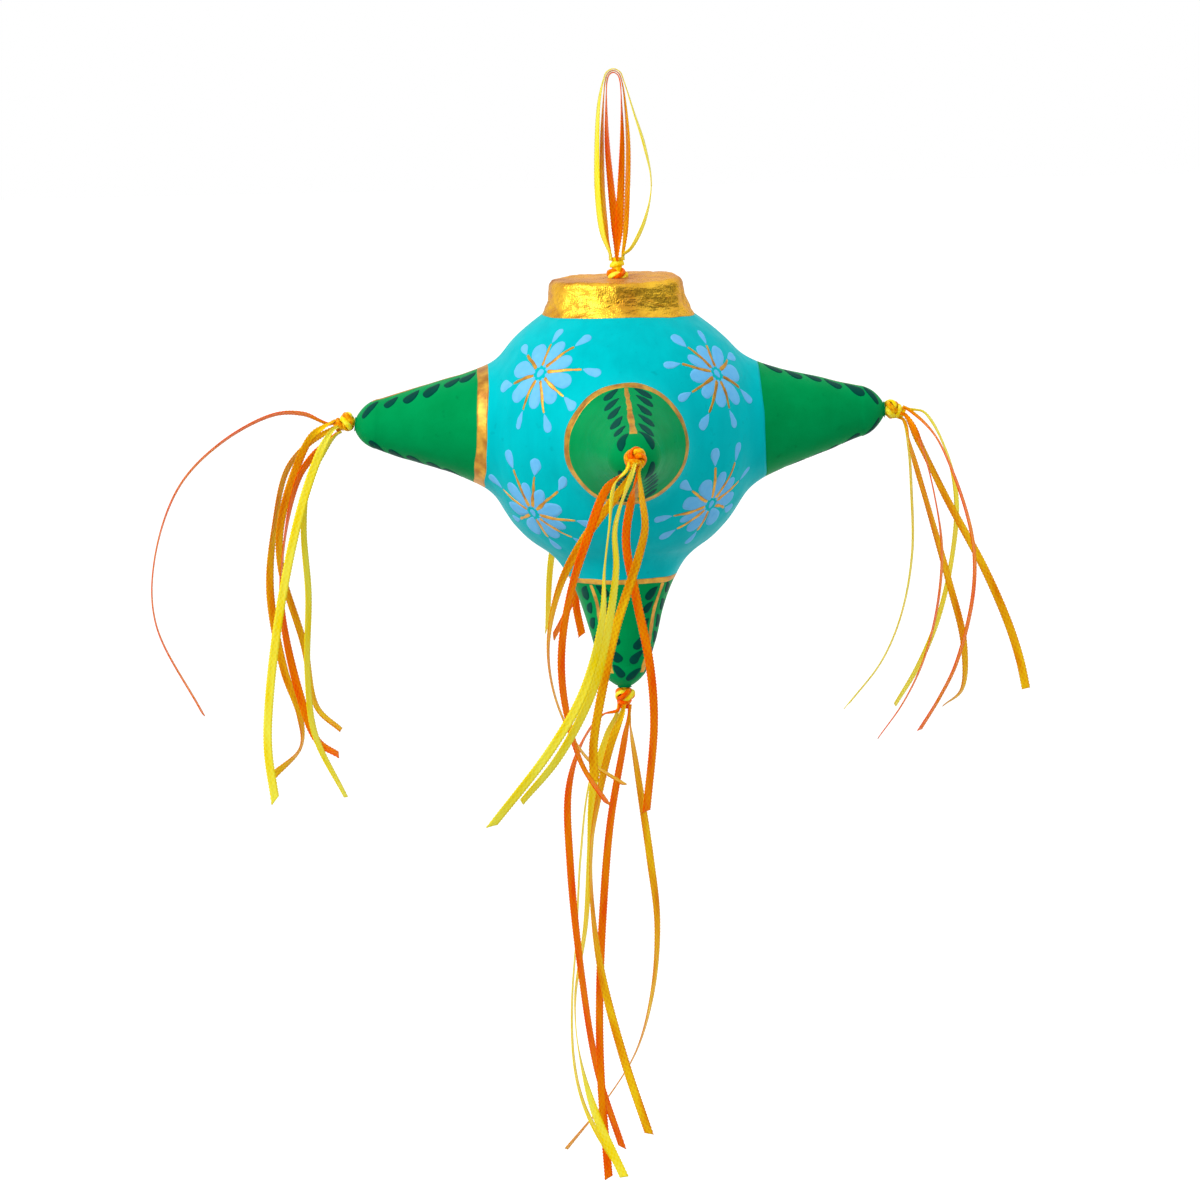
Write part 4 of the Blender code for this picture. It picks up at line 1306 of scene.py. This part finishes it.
def ribbon_mesh(route, slant, both_ends):
    """A ribbon along a route, with picot edges, a slight cup across and a slanting scissor cut."""
    fine = smooth_route(route)
    length = even_stations(fine, 1)[1]
    count = math.ceil(length / PICOT_PITCH * STATIONS_A_PICOT)
    stations = even_stations(fine, count)[0]
    bm = bmesh.new()
    loops = []
    distances = []
    for number, station in enumerate(stations):
        distance = length * number / count
        before = stations[max(number - 1, 0)]
        after = stations[min(number + 1, count)]
        run = (after.xyz - before.xyz).normalized()
        side, depth = face_axes(run)
        turn = math.radians(station.w)
        across = side * math.cos(turn) + depth * math.sin(turn)
        outward = run.cross(across).normalized()
        full_width = width_at(distance, length, both_ends)
        width = full_width - PICOT_DEPTH * 2 * (number % STATIONS_A_PICOT)
        cup = CUP_DEPTH + (RIBBON_WIDTH - full_width) * PLEAT_CUP
        nearness = 0.0 if both_ends else max(0.0, 1.0 - (length - distance) / CUT_REACH)
        ring = []
        for face in (1, -1):
            for step in range(ACROSS_STEPS + 1):
                place = (step / ACROSS_STEPS - 0.5) * face
                lean = slant * width * place * nearness
                lift = RIBBON_THICKNESS / 2 * face + cup * (4.0 * place * place - CUP_MIDDLE)
                ring.append(station.xyz + across * width * place + outward * lift + run * lean)
        loops.append([bm.verts.new(point) for point in ring])
        distances.append(distance)
    weave_strip(bm, loops, distances)
    path = even_stations(fine, PATH_POINTS - 1)[0]
    return bm, [point.xyz for point in path], length


def weave_group():
    """Satin ribbon: fine weft ribs on its face, staggered dots on its back, bound edges and painted lustre.
    """
    group, given = new_group("ribbon weave", (
        ("Thread", "Color", (1, 1, 1, 1)),
        ("Between Threads And Shade", "Color", (1, 1, 1, 1)),
        ("Dullness", "Float", 0.4),
    ))
    weave = add_node(group, "UVMap", uv_map="weave").outputs["UV"]
    parts = add_node(group, "SeparateXYZ", {0: weave}).outputs
    back = arithmetic(group, "GREATER_THAN", parts["X"], BACK_START / 2)
    across = arithmetic(group, "MULTIPLY_ADD", back, -BACK_START, parts["X"])

    def wave(value, length):
        """A sine wave of a length in millimetres along a value."""
        return arithmetic(group, "SINE", arithmetic(group, "MULTIPLY", value, 2 * math.pi / length))

    spots = arithmetic(group, "MULTIPLY", wave(across, DOT_PITCH), wave(parts["Y"], DOT_ROW_PITCH))
    showing = arithmetic(group, "MULTIPLY_ADD", back, 0.35, 0.65)
    dots = arithmetic(group, "MULTIPLY", rescaled(group, spots, -0.3, 0.6), showing)
    ribs = wave(parts["Y"], RIB_PITCH)
    off_middle = arithmetic(group, "ABSOLUTE", arithmetic(group, "ADD", across, -WEAVE_WIDTH / 2))
    edge = rescaled(group, off_middle, *BOUND_EDGE)
    # Painted lustre: long streaks along the ribbon shift its colour from thread to shade, for the satin's
    # highlights and shade
    uneven = grain(group, stretched(group, weave, (0.15, 0.04, 1.0)), 1.0, 2.0)
    shade = rescaled(group, uneven, 0.36, 0.66, 0.9)
    edged = arithmetic(group, "MULTIPLY_ADD", edge, 0.35, shade)
    ribbed = arithmetic(group, "MULTIPLY_ADD", ribs, 0.06, edged)
    dotted = arithmetic(group, "MULTIPLY_ADD", dots, 0.5, ribbed, use_clamp=True)
    colour = mixed(group, dotted, given["Thread"], given["Between Threads And Shade"])
    roughness = arithmetic(group, "MULTIPLY_ADD", dots, 0.18, given["Dullness"])
    sunk_dots = arithmetic(group, "MULTIPLY", dots, -1.0)
    height = arithmetic(group, "MULTIPLY_ADD", ribs, 0.3, sunk_dots)
    return end_group(group, colour, roughness, height)


ribbon_weave = weave_group()


def satin_material(colour):
    """Satin in one colour, which lets a little light through."""
    # The colour between threads is also the ribbon's painted shade
    thread, between, gloss = [screen_colour(shade) for shade in SATIN[colour]]
    values = {"Thread": thread, "Between Threads And Shade": between, "Dullness": SATIN_DULLNESS}
    finish = {
        "Specular IOR Level": 0.35,
        "Specular Tint": gloss,
        "Sheen Weight": 0.5,
        "Sheen Roughness": 0.4,
        "Sheen Tint": gloss,
        "Subsurface Weight": 0.5,
        "Subsurface Radius": (1.0, 1.0, 1.0),
        "Subsurface Scale": 0.0008,
    }
    return grouped_material(colour + "_satin", ribbon_weave, values, SATIN_RELIEF, finish)


satin = {colour: satin_material(colour) for colour in SATIN}


def tassel_knot_place(name):
    return GLOBE_CENTRE + ARM_FRAMES[name].col[2] * (cone_reach(name) + FIT_GAP + TASSEL_KNOT_RADIUS)


def add_ribbon(node, colour, route, slant, body, far_end):
    """Put the satin ribbon that stands for one of the CAD's ribbons into the scene, in its place."""
    bm, path, length = ribbon_mesh(route, slant, far_end == "object")
    ribbon = add_piece(node + "_satin", bm, [satin[colour]], body)
    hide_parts(node)


for arm, tails in TASSEL_TAILS.items():
    knot = tassel_knot_place(arm)
    exit_way = TASSEL_EXITS[arm].normalized()
    for slant, (tail, (slot, offsets)) in zip(CUT_SLANTS, tails.items()):
        route = chosen_points(offsets, knot)
        route = leaving_points(knot, TASSEL_KNOT_RADIUS, exit_way, slot, route[0].w) + route
        add_ribbon(arm + "_tail_" + tail, tail.split("_")[0], route, slant, arm + "_tassel", "bare")


# The hanging loop
# Three more ribbons run up from the knot on the neck, lie over each other where a hook holds them,
# and come down into the same knot.

HANGER_KNOT_RADIUS = 0.0034
LOOP_TOP = Vector((0, 0, 0))

# The places round the knot where a ribbon's two ends go in, and the points between them as
# millimetres from the inside of the loop's top

LOOP_RIBBONS = {
    "yellow": (300, 60, [
        (-4.6, -1.8, -54, 56), (-6, -1.6, -42, 54), (-6, -1, -25, 62), (-5, 0, -10, 76), (-3.4, 0, -2.5, 88),
        (-2.2, 0, 0.4, 90), (0, 0, 1.4, 90), (2.2, 0, 0.4, 90), (3.4, 0, -2.5, 88), (6.5, 0, -13, 80),
        (10, -1, -25, 72), (12, -1.5, -38, 84), (9, -2.5, -51, 66), (4.5, -2.5, -59, 58)]),
    "gold": (240, 120, [
        (-3.2, 1.3, -54, 124), (-4.2, 1, -40, 122), (-4.2, 0.5, -24, 116), (-3.6, 0, -11, 100),
        (-2.8, 0, -3, 90), (-1.8, 0, -0.1, 90), (0, 0, 0.8, 90), (1.8, 0, -0.1, 90), (2.8, 0, -3, 90),
        (3.8, 0, -11, 99), (4.5, 0.5, -24, 114), (4, 1, -40, 120), (3, 1.2, -54, 122)]),
    "orange": (180, 0, [
        (0, 2.8, -54, 168), (-1.2, 2.4, -40, 142), (-2.4, 1, -24, 124), (-2.5, 0, -11, 102),
        (-2.2, 0, -3.2, 90), (-1.4, 0, -0.6, 90), (0, 0, 0.2, 90), (1.4, 0, -0.6, 90),
        (2.2, 0, -3.2, 90), (2.5, 0, -11, 80), (2.4, -0.8, -24, 58), (1.6, -1.6, -40, 34),
        (0.6, -2.4, -54, 12)]),
}


def hanger_knot_place():
    top = mouth_sizes("top")[1] + NECK_HEIGHT
    return GLOBE_CENTRE + UP * (top + FIT_GAP + HANGER_KNOT_RADIUS)


for colour, (first_slot, last_slot, offsets) in LOOP_RIBBONS.items():
    knot = hanger_knot_place()
    route = chosen_points(offsets, LOOP_TOP)
    start = leaving_points(knot, HANGER_KNOT_RADIUS, UP, first_slot, route[0].w)
    end = leaving_points(knot, HANGER_KNOT_RADIUS, UP, last_slot, -route[-1].w)
    downwards = [Vector((*point.xyz, -point.w)) for point in reversed(end)]
    add_ribbon("loop_ribbon_" + colour, colour, start + route + downwards, 0.0, "hanging_loop", "object")


# The knots
# Overhand knots in the bundle of ribbons, each pulled tight against a cone's tip or the neck, so that
# strands of mixed colours pass over and under each other round a firm middle.

# The strands and the path of their coil. An unevenness is the size of its lumps and their height, as a
# share of the radius. Each station has STATION_WEAVE millimetres of the weave.

STRAND_WIDTH = 0.0019
STRAND_THICKNESS = 0.0011
STRAND_STATIONS = 150
STRAND_SIDES = 12
STRAND_SPACING = 0.9
STRAND_UNEVENNESS = (0.002, 0.08)
STATION_WEAVE = 0.3
KNOT_COIL = 0.00175
COIL_SWELL = 0.5
COIL_RISE = 1.9
WAY_OUT_LEAN = 0.0006
TURN_AHEAD = 0.01
KNOT_FILL = 0.0018
FILL_UNEVENNESS = (0.0012, 0.12)
KNOT_PULL = 0.0006

# The gathered ribbons in the cone's hole, and the last turn of the bundle where they leave the knot

SHAFT_STEPS = 8
THREAD_RADIUS = 0.0013
THROAT_RADIUS = 0.0019
THROAT_LIFT = 0.0019
THROAT_STATIONS = 48
THROAT_TILT = 0.0004
THROAT_TILT_TURN = 0.6
THROAT_FLARE = 0.4
WRAP_HALF_WIDTH = 0.0010
WRAP_HALF_THICKNESS = 0.00055
BUNDLE_RISE = 0.0022
BUNDLE_LENGTH = 0.0030
BUNDLE_FILL = 0.92

# The hanger's knot sits lower than its solid and is pressed into the neck's cap

HANGER_KNOT_SINK = 0.0018
HANGER_SHAFT_DEPTH = 0.0006
HANGER_BUNDLE_DEPTH = 0.0008

# Each knot's strand colours, its stretch across and along its cone, and its turn in degrees

KNOTS = {
    "left": (("yellow", "gold"), 0.95, 0.92, 20),
    "right": (("gold", "yellow"), 0.98, 0.95, 75),
    "front": (("orange", "gold"), 1.12, 1.08, 130),
    "rear": (("gold", "orange"), 1.00, 0.95, 200),
    "bottom": (("yellow", "orange"), 1.04, 0.92, 250),
    "hanger": (("orange", "yellow"), 1.12, 0.68, 320),
}


def coil_point(turn, stretch_across, stretch_along):
    """A point of an overhand knot's path, and the way out from its middle there."""
    waist = Vector((math.cos(2 * turn), math.sin(2 * turn), 0.0)) * KNOT_COIL
    outward = Vector((
        math.cos(3 * turn) * math.cos(2 * turn),
        math.cos(3 * turn) * math.sin(2 * turn),
        math.sin(3 * turn) * COIL_RISE,
    ))
    point = waist + outward * (COIL_SWELL * KNOT_COIL)
    point = Vector((point.x * stretch_across, point.y * stretch_across, point.z * stretch_along))
    return point, (point + outward * WAY_OUT_LEAN).normalized()


def tube_rings(bm, points, ups, half_width, half_thickness, closed):
    """Lay a flattened tube along points. ups are the ways out from its flat side."""
    weave = bm.loops.layers.uv.verify()
    loops = []
    count = len(points)
    for index, (point, up) in enumerate(zip(points, ups)):
        before = points[index - 1] if closed or index > 0 else point
        after = points[(index + 1) % count] if closed or index < count - 1 else point
        run = (after - before).normalized()
        across = run.cross(up).normalized()
        outward = across.cross(run)
        ring = []
        for step in range(STRAND_SIDES):
            turn = 2 * math.pi * step / STRAND_SIDES
            offset = across * math.cos(turn) * half_width + outward * math.sin(turn) * half_thickness
            ring.append(point + offset)
        loops.append([bm.verts.new(spot) for spot in ring])
    pairs = list(zip(loops, loops[1:]))
    if closed:
        pairs.append((loops[-1], loops[0]))
    faces = []
    step_width = WEAVE_WIDTH / STRAND_SIDES
    for number, (near, far) in enumerate(pairs):
        low, high = number * STATION_WEAVE, number * STATION_WEAVE + STATION_WEAVE
        for step in range(STRAND_SIDES):
            after = (step + 1) % STRAND_SIDES
            face = bm.faces.new((near[step], near[after], far[after], far[step]))
            left = BACK_START + step_width * step
            for loop, corner in zip(face.loops, weave_corners(left, left + step_width, low, high)):
                loop[weave].uv = corner
            faces.append(face)
    if not closed:
        faces.append(bm.faces.new(loops[0]))
        faces.append(bm.faces.new(loops[-1]))
    return faces


def knot_mesh(name, place, axes, depth):
    """The coiled strands, the firm middle, and the gathered ribbons that go into the hole."""
    colours, stretch_across, stretch_along, knot_turn = KNOTS[name]
    bm = bmesh.new()
    bm.loops.layers.uv.new("weave")
    spin = axes @ Matrix.Rotation(math.radians(knot_turn), 3, "Z")
    wave, unevenness = STRAND_UNEVENNESS
    for strand in range(len(colours)):
        points = []
        ups = []
        for station in range(STRAND_STATIONS):
            turn = 2 * math.pi * station / STRAND_STATIONS
            point, outward = coil_point(turn, stretch_across, stretch_along)
            after = coil_point(turn + TURN_AHEAD, stretch_across, stretch_along)[0]
            across = (after - point).cross(outward).normalized()
            shift = (strand - 0.5) * STRAND_WIDTH * STRAND_SPACING
            squeeze = 1.0 + noise.noise(point / wave + Vector((strand, 0, 0))) * unevenness
            points.append(spin @ ((point + across * shift) * squeeze) + place)
            ups.append(spin @ outward)
        for face in tube_rings(bm, points, ups, STRAND_WIDTH / 2, STRAND_THICKNESS / 2, True):
            face.material_index = strand
    wave, unevenness = FILL_UNEVENNESS
    for vertex in bmesh.ops.create_icosphere(bm, subdivisions=3, radius=KNOT_FILL)["verts"]:
        lumpy = vertex.co * (1.0 + noise.noise(vertex.co / wave) * unevenness)
        vertex.co = axes @ Vector((lumpy.x * stretch_across, lumpy.y * stretch_across, lumpy.z)) + place
    shaft = [place - axes.col[2] * depth * step / SHAFT_STEPS for step in range(SHAFT_STEPS + 1)]
    tube_rings(bm, shaft, [axes.col[0]] * len(shaft), THREAD_RADIUS, THREAD_RADIUS, False)
    bmesh.ops.recalc_face_normals(bm, faces=bm.faces)
    return bm


def throat_mesh(place, exit_way, sink):
    """The last turn of the bundle, round the ribbons where they leave the knot, and what it holds."""
    bm = bmesh.new()
    bm.loops.layers.uv.new("weave")
    front = (TOWARDS_FRONT - exit_way * TOWARDS_FRONT.dot(exit_way)).normalized()
    left = exit_way.cross(front)
    points = []
    ups = []
    for station in range(THROAT_STATIONS):
        turn = 2 * math.pi * station / THROAT_STATIONS
        outward = front * math.cos(turn) + left * math.sin(turn)
        tilt = exit_way * math.sin(turn + THROAT_TILT_TURN) * THROAT_TILT
        points.append(place + exit_way * THROAT_LIFT + outward * THROAT_RADIUS + tilt)
        ups.append((outward + exit_way * THROAT_FLARE).normalized())
    tube_rings(bm, points, ups, WRAP_HALF_WIDTH, WRAP_HALF_THICKNESS, True)
    bundle = []
    for step in range(SHAFT_STEPS + 1):
        sunk = (BUNDLE_LENGTH + sink) * (step / SHAFT_STEPS)
        bundle.append(place + exit_way * (THROAT_LIFT + BUNDLE_RISE - sunk))
    bundle_radius = THROAT_RADIUS * BUNDLE_FILL
    tube_rings(bm, bundle, [front] * len(bundle), bundle_radius, bundle_radius, False)
    bmesh.ops.recalc_face_normals(bm, faces=bm.faces)
    return bm


for arm in ARMS:
    place = tassel_knot_place(arm) - ARM_FRAMES[arm].col[2] * KNOT_PULL
    colours = KNOTS[arm][0]
    knot = add_piece(
        "tied_" + arm + "_knot",
        knot_mesh(arm, place, ARM_FRAMES[arm], TASSEL_KNOT_RADIUS + TIP_HOLE_DEPTH),
        [satin[colour] for colour in colours],
        "star",
    )
    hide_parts(arm + "_tassel_knot")
    throat = add_piece(
        arm + "_knot_throat",
        throat_mesh(tassel_knot_place(arm), TASSEL_EXITS[arm].normalized(), 0.0),
        [satin[colours[1]]],
        arm + "_tassel",
    )

hanger_colours = KNOTS["hanger"][0]
lying = hanger_knot_place() - UP * HANGER_KNOT_SINK
knot = add_piece(
    "tied_hanger_knot",
    knot_mesh("hanger", lying, ARM_FRAMES["top"], HANGER_KNOT_RADIUS + HANGER_SHAFT_DEPTH),
    [satin[colour] for colour in hanger_colours],
    "hanger",
)
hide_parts("hanger_knot")
throat = add_piece(
    "hanger_knot_throat",
    throat_mesh(hanger_knot_place(), UP, HANGER_KNOT_SINK + HANGER_BUNDLE_DEPTH),
    [satin["yellow"]],
    "hanging_loop",
)


# The studio
# The ornament hangs in front of white paper, under one large soft lamp at its upper left and a weaker
# one at its right. The camera looks at it from a little above.

# The camera looks at the globe's centre, and is then moved sideways and up without turning

CAMERA_DISTANCE = 2.0
CAMERA_TURN = math.radians(2.8)
CAMERA_HEIGHT = math.radians(7.4)
CAMERA_ROLL = math.radians(1.1)
CAMERA_RIGHT = -0.0068
CAMERA_UP = -0.0578
SENSOR_WIDTH = 36.0
PHOTO_WIDTH = 1200
FOCAL_PIXELS = 5882
FLOOR_DROP = 0.75
FLOOR_SIZE = 12.0
ROOM_LIGHT = 0.8
PAPER_GLOW = 0.7
CURTAIN_RADIUS = 2.4
CURTAIN_FOOT = 0.01
CURTAIN_TOP = 1.1
CURTAIN_START = -12
CURTAIN_END = 115
CURTAIN_STEPS = 24


def photo_camera():
    """The photo's camera. Its turn and roll are to the right, and it looks down by its height."""
    sine = math.sin(CAMERA_TURN)
    cosine = math.cos(CAMERA_TURN)
    level = math.cos(CAMERA_HEIGHT)
    lowered = math.sin(CAMERA_HEIGHT)
    forward = Vector((sine * level, cosine * level, -lowered))
    right = Vector((cosine, -sine, 0.0))
    upward = Vector((sine * lowered, cosine * lowered, level))
    rolled_right = right * math.cos(CAMERA_ROLL) - upward * math.sin(CAMERA_ROLL)
    rolled_up = right * math.sin(CAMERA_ROLL) + upward * math.cos(CAMERA_ROLL)
    place = GLOBE_CENTRE - forward * CAMERA_DISTANCE + rolled_right * CAMERA_RIGHT + rolled_up * CAMERA_UP
    lens = bpy.data.cameras.new("photo_camera")
    lens.sensor_width = SENSOR_WIDTH
    lens.lens = SENSOR_WIDTH * FOCAL_PIXELS / PHOTO_WIDTH
    camera = bpy.data.objects.new("photo_camera", lens)
    bpy.context.scene.collection.objects.link(camera)
    turn = Matrix((rolled_right, rolled_up, -forward)).transposed()
    camera.matrix_world = Matrix.LocRotScale(place, turn.to_quaternion(), None)
    return camera


bpy.context.scene.camera = photo_camera()


def add_lamp(name, place, size, power, mirrored):
    """A square lamp that faces the globe. A mirrored one shows in gloss."""
    light = bpy.data.lights.new(name, "AREA")
    light.shape = "SQUARE"
    light.size = size
    light.energy = power
    lamp = bpy.data.objects.new(name, light)
    bpy.context.scene.collection.objects.link(lamp)
    lamp.location = place
    lamp.rotation_mode = "QUATERNION"
    lamp.rotation_quaternion = (GLOBE_CENTRE - Vector(place)).to_track_quat("-Z", "Y")
    lamp.visible_glossy = mirrored


add_lamp("soft_box", (-0.92, -0.72, 0.60), size=0.9, power=13, mirrored=True)
add_lamp("side_box", (1.15, 0.45, 0.05), size=0.9, power=5, mirrored=False)


def backdrop_seen(tree):
    """1 for rays that show the backdrop itself: to the camera, in gloss, or through glass."""
    paths = add_node(tree, "LightPath").outputs
    first = arithmetic(tree, "MAXIMUM", paths["Is Camera Ray"], paths["Is Glossy Ray"])
    return arithmetic(tree, "MAXIMUM", first, paths["Is Transmission Ray"])


def light_room():
    """Even light from all round, which itself looks white."""
    world = bpy.data.worlds.new("white_room")
    world.use_nodes = True
    bpy.context.scene.world = world
    tree = world.node_tree
    tree.nodes.clear()
    white = add_node(tree, "Background", {"Color": (1, 1, 1, 1), "Strength": 1.0})
    dim = add_node(tree, "Background", {"Color": (1, 1, 1, 1), "Strength": ROOM_LIGHT})
    mix = add_node(tree, "MixShader", {0: backdrop_seen(tree), 1: dim.outputs[0], 2: white.outputs[0]})
    output = add_node(tree, "OutputWorld")
    tree.links.new(mix.outputs[0], output.inputs["Surface"])


light_room()
bpy.context.scene.view_settings.view_transform = "Standard"


def dull_material(name, cloud_scale, detail, darkest, palest):
    """A matt grey or white with faint clouds in its tone."""
    material, tree, shader = new_material(name)
    clouds = add_node(tree, "TexNoise", {"Scale": cloud_scale, "Detail": detail}).outputs["Fac"]
    tone = add_node(tree, "MapRange", {"Value": clouds, "To Min": darkest, "To Max": palest})
    tree.links.new(tone.outputs[0], shader.inputs["Base Color"])
    shader.inputs["Roughness"].default_value = 0.95
    return material, tree, shader


def add_stage(name, bm, material, height):
    """Put a mesh that isn't part of the ornament into the scene."""
    mesh = bpy.data.meshes.new(name)
    bm.to_mesh(mesh)
    bm.free()
    mesh.materials.append(material)
    stage = bpy.data.objects.new(name, mesh)
    stage.location = (0, 0, height)
    bpy.context.scene.collection.objects.link(stage)
    return stage


def add_floor():
    """White paper far below, which glows just enough to look white but still takes a shadow."""
    bm = bmesh.new()
    bmesh.ops.create_grid(bm, x_segments=1, y_segments=1, size=FLOOR_SIZE)
    material, tree, shader = dull_material("white_paper", 40.0, 3.0, 0.52, 0.56)
    set_sockets(shader, {"Specular IOR Level": 0.1, "Emission Color": (1, 1, 1, 1)})
    glow = arithmetic(tree, "MULTIPLY", backdrop_seen(tree), PAPER_GLOW)
    tree.links.new(glow, shader.inputs["Emission Strength"])
    add_stage("paper_floor", bm, material, -FLOOR_DROP)


add_floor()


def add_curtain():
    """A dull curtain round the camera's side, which the gold reflects and no camera sees."""
    bm = bmesh.new()
    loops = []
    for height in (-FLOOR_DROP + CURTAIN_FOOT, CURTAIN_TOP):
        ring = []
        for step in range(CURTAIN_STEPS + 1):
            turn = math.radians(CURTAIN_START + (CURTAIN_END - CURTAIN_START) * step / CURTAIN_STEPS)
            place = Vector((math.sin(turn), -math.cos(turn), 0.0)) * CURTAIN_RADIUS
            ring.append(bm.verts.new(place + UP * height))
        loops.append(ring)
    for step in range(CURTAIN_STEPS):
        bm.faces.new((loops[0][step], loops[0][step + 1], loops[1][step + 1], loops[1][step]))
    curtain = add_stage("dull_curtain", bm, dull_material("dull_cloth", 6.0, 2.0, 0.10, 0.16)[0], 0.0)
    curtain.visible_camera = False
    curtain.visible_diffuse = False


add_curtain()
